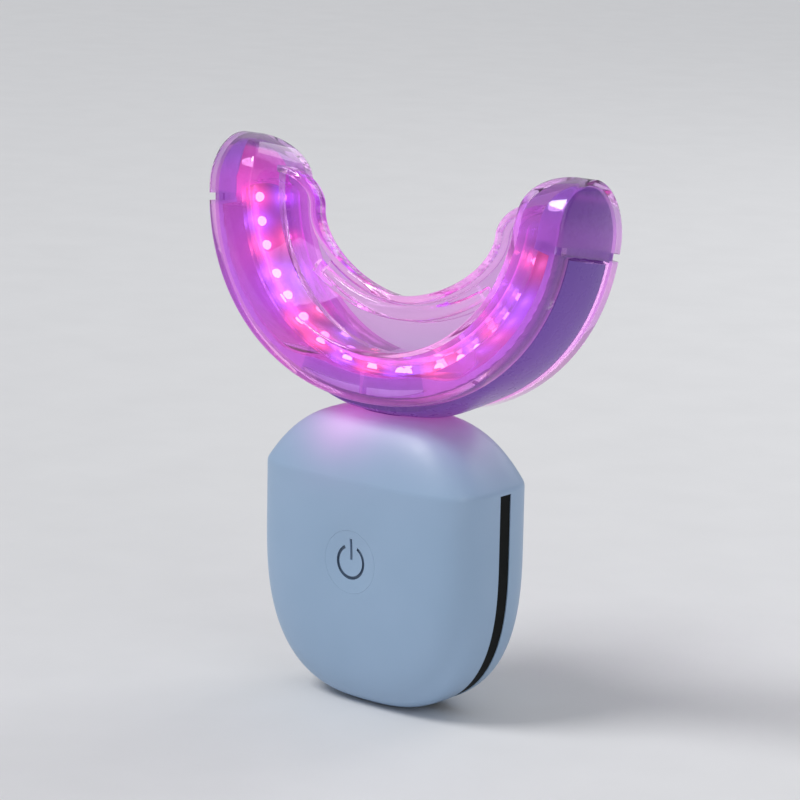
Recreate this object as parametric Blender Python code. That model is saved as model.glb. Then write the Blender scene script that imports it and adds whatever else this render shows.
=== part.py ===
"""Light therapy oral care device.

A horseshoe mouthpiece with two rows of red and blue lamps stands on a palm-sized cordless handle.
The handle is a one-piece soft skin over a black two-part case with the board and the battery. The skin
is slit round its edge, and a band of the case fills the slit. The mouthpiece is a white arch, clear
spacers, a lamp strip under a clear window, and a clear silicone tray.
Units are metres, +Z is up, the front with the power button faces -Y, and the handle's foot is the origin.
"""

import math

import bmesh
import bpy
from mathutils import Matrix, Vector

# Clearances
GAP = 0.0003
OVERRUN = 0.004
WELD = 0.00001

# Handle: outside form
HANDLE_WIDTH = 0.0424
HANDLE_THICKNESS = 0.0214
STRAIGHT_SIDE = 0.0103
ROUND_BOTTOM = 0.0267
DOME_HEIGHT = 0.0100
OUTLINE_POWER = 2.74
SECTION_POWER = 4.2
DOME_POWER = 3.4
SKIN_WALL = 0.0016
SLIT_WIDTH = 0.0026
SLIT_BELOW_CREASE = 0.0006
SLIT_BEHIND_MIDDLE = 0.0012

# Handle: black case inside the skin
CASE_WALL = 0.0012
CASE_BELOW_CREASE = 0.0004
CASE_PARTING = 0.0003
RIB_BELOW_SKIN = 0.0003
BOSS_RADIUS = 0.0020
TOP_BOSS_X = 0.0133
TOP_BOSS_BELOW_CREASE = 0.0038
LOW_BOSS_X = 0.0080
LOW_BOSS_Z = 0.0098
POST_RADIUS = 0.0013
BOARD_POST_X = 0.0110
CELL_POST_X = 0.0090
SCREW_SHANK_RADIUS = 0.0008
SCREW_HEAD_RADIUS = 0.0015
SCREW_HEAD_HEIGHT = 0.0010
SCREW_HEAD_TOP_RADIUS = 0.00105
SCREW_BITE = 0.0023

# Handle: board, cell and what sits on them. Depths are shares of the room inside one case half
INNER_ROOM = HANDLE_THICKNESS / 2 - SKIN_WALL - GAP - CASE_WALL
BOARD_FRONT_SHARE = 0.21
CELL_THICKNESS_SHARE = 0.58
SWITCH_HEIGHT_SHARE = 0.42
BOARD_FRONT = INNER_ROOM * BOARD_FRONT_SHARE
CELL_THICKNESS = INNER_ROOM * CELL_THICKNESS_SHARE
SWITCH_HEIGHT = INNER_ROOM * SWITCH_HEIGHT_SHARE
BOARD_WIDTH = 0.0260
BOARD_HEIGHT = 0.0178
BOARD_THICKNESS = 0.0010
BOARD_LOW_Z = 0.0130
CELL_EDGE = 0.0012
SWITCH_SIZE = 0.0060
SWITCH_CAP_RADIUS = 0.0017
SWITCH_CAP_HEIGHT = 0.0011
CHIP_SIZE = 0.0050
CHIP_HEIGHT = 0.0009
CHIP_X = 0.0080
CHIP_ABOVE_BOARD_FOOT = 0.0080
COIL_RADIUS = 0.0024
COIL_HEIGHT = 0.0020
PLUG_WIDTH = 0.0080
PLUG_HEIGHT = 0.0020
PLUG_DEPTH = 0.0012

# Power button
BUTTON_Z = 0.0241
BUTTON_RADIUS = 0.0050
BUTTON_FLANGE_RADIUS = 0.0058
BUTTON_FLANGE_HEIGHT = 0.0007
BUTTON_TRAVEL = 0.0004
BUTTON_REST_CLEARANCE = BUTTON_TRAVEL + GAP / 3
PLUNGER_RADIUS = 0.0016
DIMPLE_RADIUS = 0.0042
DIMPLE_DEPTH = 0.00035
SYMBOL_RADIUS = 0.00255
SYMBOL_STROKE = 0.0005
SYMBOL_DEPTH = 0.00015
SYMBOL_BAR_TOP = 0.0037
SYMBOL_BAR_FOOT = 0.0003
SYMBOL_OPENING_DEG = 56.0

# Charging seat on the back
SEAT_Z = 0.0200
SEAT_WIDTH = 0.0170
SEAT_HEIGHT = 0.0076
SEAT_DEPTH = 0.0010
CONTACT_X = 0.0045
CONTACT_RADIUS = 0.0020
CONTACT_HEAD_HEIGHT = 0.0006
CONTACT_PIN_RADIUS = 0.0009
CONTACT_PIN_LENGTH = 0.0028
MAGNET_X = 0.0090
MAGNET_RADIUS = 0.0025
MAGNET_THICKNESS = 0.0014

# Arch: outer curve, seen from the front
ARCH_HALF_WIDTH = 0.0352
ARCH_DEPTH = 0.0320
ARCH_ARM = 0.0071
ARCH_POWER = 2.11
ARCH_ABOVE_CREASE = 0.0106
ARCH_SET_FORWARD = 0.00075
ARCH_LEAN_DEG = 6.0
ARCH_RAKE_DEG = 5.0
ARM_SWELL = 0.0012
ARM_SWELL_REACH_SHARE = 1.25

# Arch: layers, counted inwards from the outer curve, and their half heights
TRAY_HALF_HEIGHT = 0.0081
TRAY_END_LENGTH = 0.0090
TIP_ROUND = 0.0055
TIP_INSET = 0.0026
TIP_CAP_THICKNESS = 0.0004
TRAY_CORNER = 0.0009
LIP_THICKNESS = 0.0010
LIP_REACH = 0.0031
RIM_THICKNESS = 0.00095
BACKING_THICKNESS = 0.0030
BACKING_CROWN = 0.0003
FOOT_CROWN = 0.0013
FOOT_LENGTH = 0.0060
FOOT_FADE = 0.0130
BACKING_PANEL = 0.0011
BACKING_MIDDLE = 0.0090
BACKING_THINNING = 0.0110
CARRIER_START = 0.0150
BACKING_EDGE = 0.0006
STRIP_THICKNESS = 0.0003
STRIP_HALF_HEIGHT = 0.0046
LAMP_SIZE = 0.0018
LAMP_HEIGHT = 0.0008
LAMP_ROW = 0.0030
LAMP_LENS_RADIUS = 0.00065
LAMP_LENS_HEIGHT = 0.00025
LAMP_LENS_TOP_RADIUS = 0.00052
WINDOW_THICKNESS = 0.0008
WINDOW_HALF_HEIGHT = 0.0058
WINDOW_SKIRT = 0.0008
WINDOW_END_LENGTH = 0.0025
WINDOW_SHORT_OF_TIP = 0.0068
LINING_THICKNESS = 0.0007
NOTCH_BELOW_TIP = 0.0112
NOTCH_WIDTH = 0.0012
NOTCH_REACH = 0.0022
SLOT_INSET = 0.00205
SLOT_HALF_HEIGHT = 0.00055
SLOT_REACH = 0.0135
SLOT_TAB = 0.0007

# Tray: bite plate and inner wall
PLATE_THICKNESS = 0.0020
INNER_HALF_WIDTH = 0.0180
INNER_DEPTH = 0.0114
INNER_POWER = 1.7
INNER_CENTRE_DROP = 0.0035
PLATE_TIP_RISE = 0.0060
INNER_WALL_THICKNESS = 0.0012
INNER_WALL_HEIGHT = 0.0032
BEAD_THICKNESS = 0.0030
BEAD_HEIGHT = 0.0042
BEAD_HALF_WIDTH = 0.0150

# Stem that carries the arch
STEM_HALF_WIDTH = 0.0048
STEM_HALF_DEPTH = 0.0026
STEM_LENGTH = 0.0082
STEM_POWER = 3.0
WAIST_DEPTH = 0.0008
CLIP_THICKNESS = 0.0008
CLIP_MARGIN = 0.0022
CLIP_DEPTH_SHARE = 0.63
CLIP_BELOW_ARCH = 0.0069
SEAL_MARGIN = 0.0014
SEAL_BELOW_ARCH = 0.0062
RIBBON_WIDTH = 0.0050
RIBBON_THICKNESS = 0.00025
RIBBON_SLOT_WIDTH = 0.0062
RIBBON_SLOT_DEPTH = 0.0014

# Lamps along the arch, as shares of the way from the middle to the round of the window's end
NEAR_LEFT_SHARES = [("red", 0.048), ("blue", 0.166), ("red", 0.306), ("red", 0.432), ("blue", 0.552),
                    ("blue", 0.658), ("red", 0.786), ("blue", 0.888), ("red", 0.987)]
NEAR_RIGHT_SHARES = [("blue", 0.079), ("red", 0.258), ("red", 0.366), ("blue", 0.456), ("red", 0.556),
                     ("blue", 0.645), ("blue", 0.744), ("red", 0.903)]
FAR_SHARES = [("blue", 0.000), ("red", 0.162), ("blue", 0.324), ("red", 0.486), ("blue", 0.672),
              ("red", 0.832), ("blue", 0.995)]

# Crown of the white arch half way to its edge and at its edge, and the widest panel its ends can carry
CROWN_SHARES = (0.94, 0.72)
PANEL_SHARE = 0.70

# Smoothness
OUTLINE_STEPS = 26
SECTION_STEPS = 7
DOME_STEPS = 6
INNER_OUTLINE_STEPS = 14
INNER_SECTION_STEPS = 4
INNER_DOME_STEPS = 4
ROUND_STEPS = 28
ROD_STEPS = 16
POST_STEPS = 12
LENS_STEPS = 8
ARCH_STEPS = 32
END_STEPS = 6
DIMPLE_STEPS = 4
CARRIER_STEPS = 12
SLOT_STEPS = 6

CREASE_Z = STRAIGHT_SIDE + ROUND_BOTTOM
PIVOT_Z = CREASE_Z + ARCH_ABOVE_CREASE
CENTRE_UP = ARCH_DEPTH


def clear_scene():
    """Removes the objects that a new scene holds."""
    for old in list(bpy.data.objects):
        bpy.data.objects.remove(old, do_unlink=True)


def material(name, colour, roughness, metallic=0.0, alpha=1.0):
    """Makes one Principled material."""
    made = bpy.data.materials.new(name)
    made.use_nodes = True
    shader = made.node_tree.nodes["Principled BSDF"]
    shader.inputs["Base Color"].default_value = (*colour, 1.0)
    shader.inputs["Roughness"].default_value = roughness
    shader.inputs["Metallic"].default_value = metallic
    shader.inputs["Alpha"].default_value = alpha
    made.diffuse_color = (*colour, alpha)
    return made


def add_object(name, points, faces, finish=None, parent=None, smooth_deg=35.0):
    """Makes a mesh object with its faces turned outwards. Without a finish it is a hidden cutter."""
    mesh = bpy.data.meshes.new(name)
    mesh.from_pydata([tuple(p) for p in points], [], faces)
    work = bmesh.new()
    work.from_mesh(mesh)
    bmesh.ops.recalc_face_normals(work, faces=work.faces)
    work.to_mesh(mesh)
    work.free()
    made = bpy.data.objects.new(name, mesh)
    bpy.context.scene.collection.objects.link(made)
    made.parent = parent
    if finish is None:
        made.hide_render = True
        made.display_type = "WIRE"
    else:
        mesh.materials.append(finish)
        mesh.shade_smooth()
        mesh.set_sharp_from_angle(angle=math.radians(smooth_deg))
    return made


def combine(target, other, operation="DIFFERENCE"):
    """Adds a Boolean with another object to the target."""
    step = target.modifiers.new(other.name, "BOOLEAN")
    step.operation = operation
    step.object = other
    return target


def weld(target):
    """Joins the points that a chain of Booleans leaves almost on top of each other."""
    target.modifiers.new("weld", "WELD").merge_threshold = WELD


def loft(rings):
    """Points and faces of a solid through closed rings of equal count, with a flat cap at each end."""
    count = len(rings[0])
    points = [p for ring in rings for p in ring]
    faces = [list(range(count))[::-1], [len(points) - count + i for i in range(count)]]
    for level in range(len(rings) - 1):
        for i in range(count):
            j = (i + 1) % count
            low, high = level * count, (level + 1) * count
            faces.append([low + i, low + j, high + j, high + i])
    return points, faces


def signed_power(value, power):
    """Raises a value's size to a power and keeps its sign."""
    return math.copysign(abs(value) ** power, value)


def oval(half_x, half_y, power=2.0, steps=ROUND_STEPS):
    """A superellipse round the origin."""
    turn = [2 * math.pi * i / steps for i in range(steps)]
    return [(half_x * signed_power(math.cos(a), 2 / power), half_y * signed_power(math.sin(a), 2 / power))
            for a in turn]


def oval_solid(name, levels, finish=None, parent=None, power=2.0, place=(0, 0)):
    """A solid through ovals, one for each (height, half width, half depth)."""
    rings = [[(place[0] + x, place[1] + y, z) for x, y in oval(hx, hy, power)] for z, hx, hy in levels]
    return add_object(name, *loft(rings), finish, parent)


def rod(name, x, z, radius, front, back, finish=None, steps=ROD_STEPS):
    """A round bar along Y from front to back."""
    rings = [[(x + px, y, z + pz) for px, pz in oval(radius, radius, steps=steps)] for y in (front, back)]
    return add_object(name, *loft(rings), finish)


def stepped_rod(name, x, z, levels, finish, steps=ROD_STEPS):
    """A turned piece along Y, one ring for each (y, radius)."""
    rings = [[(x + px, y, z + pz) for px, pz in oval(r, r, steps=steps)] for y, r in levels]
    return add_object(name, *loft(rings), finish)


def block(name, low, high, finish=None, parent=None, bevel=0.0):
    """A box between two corners, with its edges rounded when a bevel is given."""
    corners = [(x, y, z) for x in (low[0], high[0]) for y in (low[1], high[1]) for z in (low[2], high[2])]
    faces = [(0, 1, 3, 2), (4, 6, 7, 5), (0, 4, 5, 1), (2, 3, 7, 6), (0, 2, 6, 4), (1, 5, 7, 3)]
    made = add_object(name, corners, faces, finish, parent)
    if bevel:
        rounding = made.modifiers.new("edges", "BEVEL")
        rounding.width = bevel
        rounding.segments = 2
    return made


# Handle surfaces
def handle_sizes(inset, drop):
    """Half width, half thickness, straight side, bottom height and top level at an inset from the skin."""
    return (HANDLE_WIDTH / 2 - inset, HANDLE_THICKNESS / 2 - inset, STRAIGHT_SIDE - drop,
            ROUND_BOTTOM - inset, CREASE_Z - drop)


def handle_outline(half_width, straight, bottom, steps):
    """The D outline below the crease, from the right top corner round to the left one."""
    turn = [math.pi * i / steps for i in range(steps + 1)]
    arc = [(half_width * signed_power(math.cos(a), 2 / OUTLINE_POWER),
            -straight - bottom * abs(math.sin(a)) ** (2 / OUTLINE_POWER)) for a in turn]
    return [(half_width, 0)] + arc + [(-half_width, 0)]


def section_shares(steps):
    """(share of the outline, share of the half thickness) from the front pole to the back one."""
    turn = [math.pi / 2 * i / steps for i in range(-steps + 1, steps)]
    return [(math.cos(v) ** (2 / SECTION_POWER), signed_power(math.sin(v), 2 / SECTION_POWER)) for v in turn]


def handle_depth(x, z, inset, drop=0.0):
    """Half thickness of the handle at a place seen from the front."""
    half_width, half_thickness, straight, bottom, top = handle_sizes(inset, drop)
    low, high = 0.0, 1.0
    for _ in range(40):
        share = (low + high) / 2
        px = abs(x) / max(share, 1e-6)
        pz = (top - z) / max(share, 1e-6)
        past = max(pz - straight, 0) / bottom
        outside = px > half_width or (px / half_width) ** OUTLINE_POWER + past ** OUTLINE_POWER > 1
        low, high = (share, high) if outside else (low, share)
    return half_thickness * (1 - high ** SECTION_POWER) ** (1 / SECTION_POWER)


def handle_solid(name, inset, drop=0.0, dome=True):
    """The handle's form at an inset from the skin, closed above by the dome or by a flat top."""
    half_width, half_thickness, straight, bottom, top = handle_sizes(inset, drop)
    steps = INNER_OUTLINE_STEPS if inset > 0 else OUTLINE_STEPS
    outline = handle_outline(half_width, straight, bottom, steps)
    count = len(outline)
    points, faces = [], []
    for share, depth in section_shares(INNER_SECTION_STEPS if inset > 0 else SECTION_STEPS):
        points += [(x * share, depth * half_thickness, top + z * share) for x, z in outline]
    rings = len(points) // count
    for r in range(rings - 1):
        for i in range(count - 1):
            a = r * count + i
            faces.append([a, a + 1, a + count + 1, a + count])
    front, back = len(points), len(points) + 1
    points += [(0, -half_thickness, top), (0, half_thickness, top)]
    for i in range(count - 1):
        faces.append([front, i + 1, i])
        last = (rings - 1) * count + i
        faces.append([back, last, last + 1])
    rim = [front] + [r * count for r in range(rings)] + [back]
    rim += [r * count + count - 1 for r in reversed(range(rings))]
    if not dome:
        faces.append(rim)
        return add_object(name, points, faces)
    rise = DOME_HEIGHT - inset
    edge = [points[i] for i in rim]
    ring = rim
    levels = INNER_DOME_STEPS if inset > 0 else DOME_STEPS
    for step in range(1, levels):
        share = math.cos(math.pi / 2 * step / levels)
        height = rise * (1 - share ** DOME_POWER)
        start = len(points)
        points += [(p[0] * share, p[1] * share, top + height) for p in edge]
        inner = list(range(start, start + len(edge)))
        for i in range(len(edge)):
            j = (i + 1) % len(edge)
            faces.append([ring[i], ring[j], inner[j], inner[i]])
        ring = inner
    points.append((0, 0, top + rise))
    faces += [[ring[i], ring[(i + 1) % len(ring)], len(points) - 1] for i in range(len(ring))]
    return add_object(name, points, faces)


# Arch curve and layers
def arch_table():
    """Points of the outer curve with the length along it, from the middle up one arm."""
    steps = 400
    turn = [math.pi / 2 * i / steps for i in range(steps + 1)]
    points = [(ARCH_HALF_WIDTH * math.sin(a) ** (2 / ARCH_POWER),
               CENTRE_UP - ARCH_DEPTH * abs(math.cos(a)) ** (2 / ARCH_POWER)) for a in turn]
    points.append((ARCH_HALF_WIDTH, CENTRE_UP + ARCH_ARM))
    length, table = 0.0, []
    for i, (x, z) in enumerate(points):
        if i:
            length += math.hypot(x - points[i - 1][0], z - points[i - 1][1])
        table.append((length, x, z))
    return table


ARCH_TABLE = arch_table()
ARCH_REACH = ARCH_TABLE[-1][0]


def arch_frame(along):
    """Point on the outer curve, its tangent towards the right tip and its inward normal."""
    want = min(abs(along), ARCH_REACH)
    low = 0
    for i in range(1, len(ARCH_TABLE)):
        low = i - 1
        if ARCH_TABLE[i][0] >= want:
            break
    (l0, x0, z0), (l1, x1, z1) = ARCH_TABLE[low], ARCH_TABLE[low + 1]
    share = (want - l0) / (l1 - l0)
    x, z = x0 + (x1 - x0) * share, z0 + (z1 - z0) * share
    rise = max(CENTRE_UP - z, 0) / ARCH_DEPTH
    tangent = Vector((rise ** (ARCH_POWER - 1) / ARCH_DEPTH, 0,
                      (x / ARCH_HALF_WIDTH) ** (ARCH_POWER - 1) / ARCH_HALF_WIDTH)).normalized()
    normal = Vector((-tangent.z, 0, tangent.x))
    side = -1 if along < 0 else 1
    if side < 0:
        tangent = Vector((tangent.x, 0, -tangent.z))
        normal = Vector((-normal.x, 0, normal.z))
    return Vector((side * x, 0, z)), tangent, normal


def raked(x, y, z):
    """A point of the arch with the rake of its walls: the far rim lies lower than the near one."""
    return Vector((x, y, z - y * math.tan(math.radians(ARCH_RAKE_DEG))))


def swell(along):
    """Extra depth of the arch's inner layers half way up the arms."""
    return ARM_SWELL * math.sin(math.pi * abs(along) / ARCH_REACH / ARM_SWELL_REACH_SHARE) ** 2


def tip_share(along, reach):
    """How far the tip's round has closed in at a place: 1 before it and 0 at the end."""
    into = max(abs(along) - (reach - TIP_ROUND), 0) / TIP_ROUND
    return math.sqrt(max(1 - into ** 2, 0))


def arch_point(along, inset, y):
    """A point in the arch's own frame."""
    point, _, normal = arch_frame(along)
    place = point + normal * inset
    return raked(place.x, y, place.z)


def arch_stations(reach, end_length):
    """(place along the arch, share of the half height) down both arms, with rounded ends."""
    flat = reach - end_length
    half = [flat * i / (ARCH_STEPS // 2) for i in range(ARCH_STEPS // 2 + 1)]
    ends = [(flat + end_length * math.sin(a), math.cos(a))
            for a in (math.radians(84) * i / END_STEPS for i in range(1, END_STEPS + 1))]
    right = [(s, 1.0) for s in half[1:]] + ends
    return [(-s, share) for s, share in reversed(right)] + [(0.0, 1.0)] + right


def arch_solid(name, section, reach, end_length, finish=None, parent=None, extra=()):
    """A layer of the arch: section(along, share) gives its closed outline as (inset, y) pairs."""
    stations = arch_stations(reach, end_length)
    stations += [(sign * s, 1.0) for s in extra for sign in (-1, 1)]
    stations.sort()
    rings = [[arch_point(s, inset, y) for inset, y in section(s, share)] for s, share in stations]
    return add_object(name, *loft(rings), finish, parent)


def flat_section(outer, inner, half_height):
    """Section function of a layer that follows the lamps' depth between two insets."""
    def section(along, share):
        y, extra = half_height * share, swell(along)
        return [(outer + extra, -y), (outer + extra, y), (inner + extra, y), (inner + extra, -y)]
    return section


def hollow_section(along, share):
    """Section of the space inside the tray's wall."""
    y = (TRAY_HALF_HEIGHT - RIM_THICKNESS) * share
    inner = round_tip(along, LINING_OUTER, TIP_INSET, ARCH_REACH - RIM_THICKNESS)
    return [(LIP_INNER, -y), (LIP_INNER, y), (inner, y), (inner, -y)]


def opening_section(along, share):
    """Section of the long opening between the lips."""
    y, past = LIP_EDGE * share, LIP_INNER + GAP
    return [(-OVERRUN / 2, -y), (-OVERRUN / 2, y), (past, y), (past, -y)]


def round_tip(along, inner, tip, reach):
    """Inner inset of a wall that closes towards the outside at the tip."""
    return tip + (inner + swell(along) - tip) * tip_share(along, reach)


# Insets of the layers
LIP_INNER = LIP_THICKNESS
BACKING_OUTER = LIP_INNER + GAP
BACKING_INNER = BACKING_OUTER + BACKING_THICKNESS
STRIP_OUTER = BACKING_INNER + GAP
STRIP_INNER = STRIP_OUTER + STRIP_THICKNESS
LAMP_OUTER = STRIP_INNER + GAP
LAMP_INNER = LAMP_OUTER + LAMP_HEIGHT
WINDOW_OUTER = LAMP_INNER + GAP
WINDOW_INNER = WINDOW_OUTER + WINDOW_THICKNESS
LINING_OUTER = WINDOW_INNER + GAP
LINING_INNER = LINING_OUTER + LINING_THICKNESS
LINING_MIDDLE = (LINING_OUTER + LINING_INNER) / 2
PLATE_REACH = ARCH_TABLE[-2][0] + PLATE_TIP_RISE - INNER_CENTRE_DROP
NOTCH_ALONG = ARCH_REACH - NOTCH_BELOW_TIP
LIP_EDGE = TRAY_HALF_HEIGHT - LIP_REACH
PANEL_END = NOTCH_ALONG - NOTCH_WIDTH / 2 - GAP
WINDOW_REACH = ARCH_REACH - WINDOW_SHORT_OF_TIP
LAMP_REACH = WINDOW_REACH - WINDOW_END_LENGTH - WINDOW_SKIRT


def tray_section(along, share):
    """Section of the whole tray wall before it is hollowed, rounded outside."""
    y = TRAY_HALF_HEIGHT * share
    corner = min(TRAY_CORNER, y / 2)
    cut = corner * (1 - math.sqrt(0.5))
    inner = round_tip(along, LINING_INNER, TIP_INSET + LINING_THICKNESS, ARCH_REACH)
    upper = [(0, y - corner), (cut, y - cut), (corner, y), (inner, y)]
    return upper + [(inset, -side) for inset, side in reversed(upper)]


def fade(along, flat, length):
    """1 as far as a flat length from the middle, and smoothly down to 0 over the length after it."""
    past = min(max((abs(along) - flat) / length, 0), 1)
    return 1 - past ** 2 * (3 - 2 * past)


def backing_share(along):
    """How full the white arch is: 1 in the middle and in the tip pockets, 0 where it is a thin panel."""
    return fade(along, BACKING_MIDDLE, BACKING_THINNING) if abs(along) < PANEL_END - GAP / 2 else 1


def backing_inner(along):
    """Inset of the white arch's inner face before the round of the tip."""
    share = backing_share(along)
    return BACKING_OUTER + BACKING_PANEL + (BACKING_THICKNESS - BACKING_PANEL + swell(along)) * share


def backing_section(along, share):
    """Section of the white arch: a crowned panel fills the tray's opening on the outside."""
    y = (TRAY_HALF_HEIGHT - RIM_THICKNESS - GAP) * share
    panel = min(LIP_EDGE - GAP, y * PANEL_SHARE)
    crown = BACKING_OUTER + BACKING_CROWN + FOOT_CROWN * fade(along, FOOT_LENGTH, FOOT_FADE)
    crown = crown if abs(along) < PANEL_END - GAP / 2 else 0.0
    edge = BACKING_EDGE * share
    tip = BACKING_OUTER + TIP_CAP_THICKNESS
    inner = tip + (backing_inner(along) - tip) * tip_share(along, ARCH_REACH - RIM_THICKNESS - GAP)
    edge_in = min(edge, (inner - BACKING_OUTER) / 3)
    upper = [(BACKING_OUTER - crown, 0.0), (BACKING_OUTER - crown * CROWN_SHARES[0], panel / 2),
             (BACKING_OUTER - crown * CROWN_SHARES[1], panel), (BACKING_OUTER, panel + GAP / 3),
             (BACKING_OUTER, y - edge_in), (BACKING_OUTER + edge_in, y),
             (inner - edge_in, y), (inner, y - edge_in)]
    lower = [(inset, -side) for inset, side in reversed(upper[1:])]
    return upper + lower


def inner_edge(steps=28):
    """The plate's inner edge from the left tip to the right one, with the arms' flared ends."""
    centre = CENTRE_UP - INNER_CENTRE_DROP
    tip_x = ARCH_HALF_WIDTH - LINING_MIDDLE - swell(PLATE_REACH)
    flare = tip_x - INNER_HALF_WIDTH
    power = 2 / INNER_POWER
    right = [(INNER_HALF_WIDTH * math.sin(a) ** power, centre - INNER_DEPTH * abs(math.cos(a)) ** power)
             for a in (math.pi / 2 * i / (steps // 2) for i in range(steps // 2 + 1))]
    right += [(INNER_HALF_WIDTH + flare * (1 - math.cos(a)), centre + PLATE_TIP_RISE * math.sin(a))
              for a in (math.pi / 2 * i / END_STEPS for i in range(1, END_STEPS + 1))]
    return [(-x, z) for x, z in reversed(right[1:])] + right


def offset_path(path, distance):
    """The path moved sideways, away from the middle of the arch."""
    moved = []
    for i, (x, z) in enumerate(path):
        x0, z0 = path[max(i - 1, 0)]
        x1, z1 = path[min(i + 1, len(path) - 1)]
        length = math.hypot(x1 - x0, z1 - z0)
        moved.append((x + (z1 - z0) / length * distance, z - (x1 - x0) / length * distance))
    return moved


def wall_along(name, path, thickness, height, parent):
    """A low wall that stands on both sides of the bite plate along a path."""
    outer = offset_path(path, thickness)
    rings = [[raked(p[0], y, p[1]) for p, y in
              ((a, -height / 2), (a, height / 2), (b, height / 2), (b, -height / 2))]
             for a, b in zip(path, outer)]
    return add_object(name, *loft(rings), None, parent)


# Pieces of the handle
def make_skin(finish, stem_hole):
    """One soft shell: dome, front and back walls, with the slit between them."""
    skin = handle_solid("handle_skin", 0.0)
    skin.hide_render = False
    skin.display_type = "TEXTURED"
    skin.data.materials.append(finish)
    skin.data.shade_smooth()
    skin.data.set_sharp_from_angle(angle=math.radians(17))
    combine(skin, handle_solid("skin_hollow", SKIN_WALL))
    half = HANDLE_WIDTH / 2 + OVERRUN
    combine(skin, block("slit", (-half, SLIT_BEHIND_MIDDLE - SLIT_WIDTH / 2, -OVERRUN),
                        (half, SLIT_BEHIND_MIDDLE + SLIT_WIDTH / 2, CREASE_Z - SLIT_BELOW_CREASE)))
    combine(skin, stem_hole)
    combine(skin, rod("button_hole", 0, BUTTON_Z, BUTTON_RADIUS + GAP, -HANDLE_THICKNESS, -BOARD_FRONT,
                      steps=ROUND_STEPS))
    combine(skin, seat_cutter())
    for side in (-1, 1):
        combine(skin, rod("contact_hole", side * CONTACT_X, SEAT_Z, CONTACT_RADIUS + GAP, cell_back(),
                          HANDLE_THICKNESS))
    return skin


def seat_face():
    """How far back the flat charging seat lies."""
    return handle_depth(0, SEAT_Z, 0.0) - SEAT_DEPTH + GAP


def seat_cutter():
    """A long oval that cuts the charging seat flat."""
    rings = [[(x, y, SEAT_Z + z) for x, z in oval(SEAT_WIDTH / 2, SEAT_HEIGHT / 2, 4.0)]
             for y in (seat_face(), HANDLE_THICKNESS)]
    return add_object("seat_cut", *loft(rings))


def boss_places():
    """Where the four case screws stand."""
    return [(side * x, z) for x, z in ((TOP_BOSS_X, CREASE_Z - TOP_BOSS_BELOW_CREASE),
                                       (LOW_BOSS_X, LOW_BOSS_Z)) for side in (-1, 1)]


def screw_head_seat(x, z):
    """How far back the screw's head begins, below the case's outside there."""
    return handle_depth(abs(x) + SCREW_HEAD_RADIUS, z - SCREW_HEAD_RADIUS, SKIN_WALL + GAP,
                        CASE_BELOW_CREASE) - SCREW_HEAD_HEIGHT - GAP


def slit_rib():
    """Black band that fills the skin's slit to just below the surface."""
    rib = handle_solid("slit_rib", RIB_BELOW_SKIN, SLIT_BELOW_CREASE + GAP, dome=False)
    half_slit = SLIT_WIDTH / 2 - GAP
    return combine(rib, block("rib_band", (-HANDLE_WIDTH, SLIT_BEHIND_MIDDLE - half_slit, -OVERRUN),
                              (HANDLE_WIDTH, SLIT_BEHIND_MIDDLE + half_slit, CREASE_Z)), "INTERSECT")


def make_case_half(name, side, finish):
    """Front (-1) or back (1) half of the black case, with screw bosses and posts."""
    case = handle_solid(name, SKIN_WALL + GAP, CASE_BELOW_CREASE, dome=False)
    case.hide_render = False
    case.display_type = "TEXTURED"
    case.data.materials.append(finish)
    case.data.shade_smooth()
    case.data.set_sharp_from_angle(angle=math.radians(30))
    if side > 0:
        combine(case, slit_rib(), "UNION")
    hollow = handle_solid(name + "_hollow", SKIN_WALL + GAP + CASE_WALL,
                          CASE_BELOW_CREASE + CASE_WALL, dome=False)
    far = side * HANDLE_THICKNESS
    for i, (x, z) in enumerate(boss_places()):
        combine(hollow, rod(f"{name}_boss_{i}", x, z, BOSS_RADIUS, *sorted((0, far)), steps=POST_STEPS))
    middle = BOARD_LOW_Z + BOARD_HEIGHT / 2
    reach = BOARD_HEIGHT / 2 - 2 * POST_RADIUS
    if side < 0:
        posts = [(sx * BOARD_POST_X, middle + sz * reach, -BOARD_FRONT - GAP)
                 for sx in (-1, 1) for sz in (-1, 1)]
    else:
        posts = [(sx * CELL_POST_X, middle + reach, cell_back() + GAP) for sx in (-1, 1)]
    for i, (x, z, end) in enumerate(posts):
        combine(hollow, rod(f"{name}_post_{i}", x, z, POST_RADIUS, *sorted((end, far)), steps=POST_STEPS))
    combine(case, hollow)
    half = HANDLE_WIDTH
    if side < 0:
        cut = block(name + "_cut", (-half, -CASE_PARTING / 2, -OVERRUN), (half, half, CREASE_Z + OVERRUN))
    else:
        cut = block(name + "_cut", (-half, -half, -OVERRUN), (half, CASE_PARTING / 2, CREASE_Z + OVERRUN))
    combine(case, cut)
    for i, (x, z) in enumerate(boss_places()):
        seat = screw_head_seat(x, z)
        hole = rod(f"{name}_screw_hole_{i}", x, z, SCREW_SHANK_RADIUS + GAP, -SCREW_BITE - GAP,
                   far if side > 0 else OVERRUN, steps=POST_STEPS)
        combine(case, hole)
        if side > 0:
            combine(case, rod(f"{name}_head_hole_{i}", x, z, SCREW_HEAD_RADIUS + GAP, seat - GAP, far,
                              steps=POST_STEPS))
    return case


def open_front_case(case):
    """Cuts the button's hole and the ribbon's slot in the front half."""
    combine(case, rod("case_button_hole", 0, BUTTON_Z, BUTTON_FLANGE_RADIUS + GAP + GAP,
                      -HANDLE_THICKNESS, -BOARD_FRONT, steps=ROUND_STEPS))
    y = ribbon_plane()
    low = (-RIBBON_SLOT_WIDTH / 2, y - RIBBON_SLOT_DEPTH / 2, CREASE_Z - OVERRUN)
    high = (RIBBON_SLOT_WIDTH / 2, y + RIBBON_SLOT_DEPTH / 2, CREASE_Z + OVERRUN)
    combine(case, block("ribbon_slot", low, high))


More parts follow.
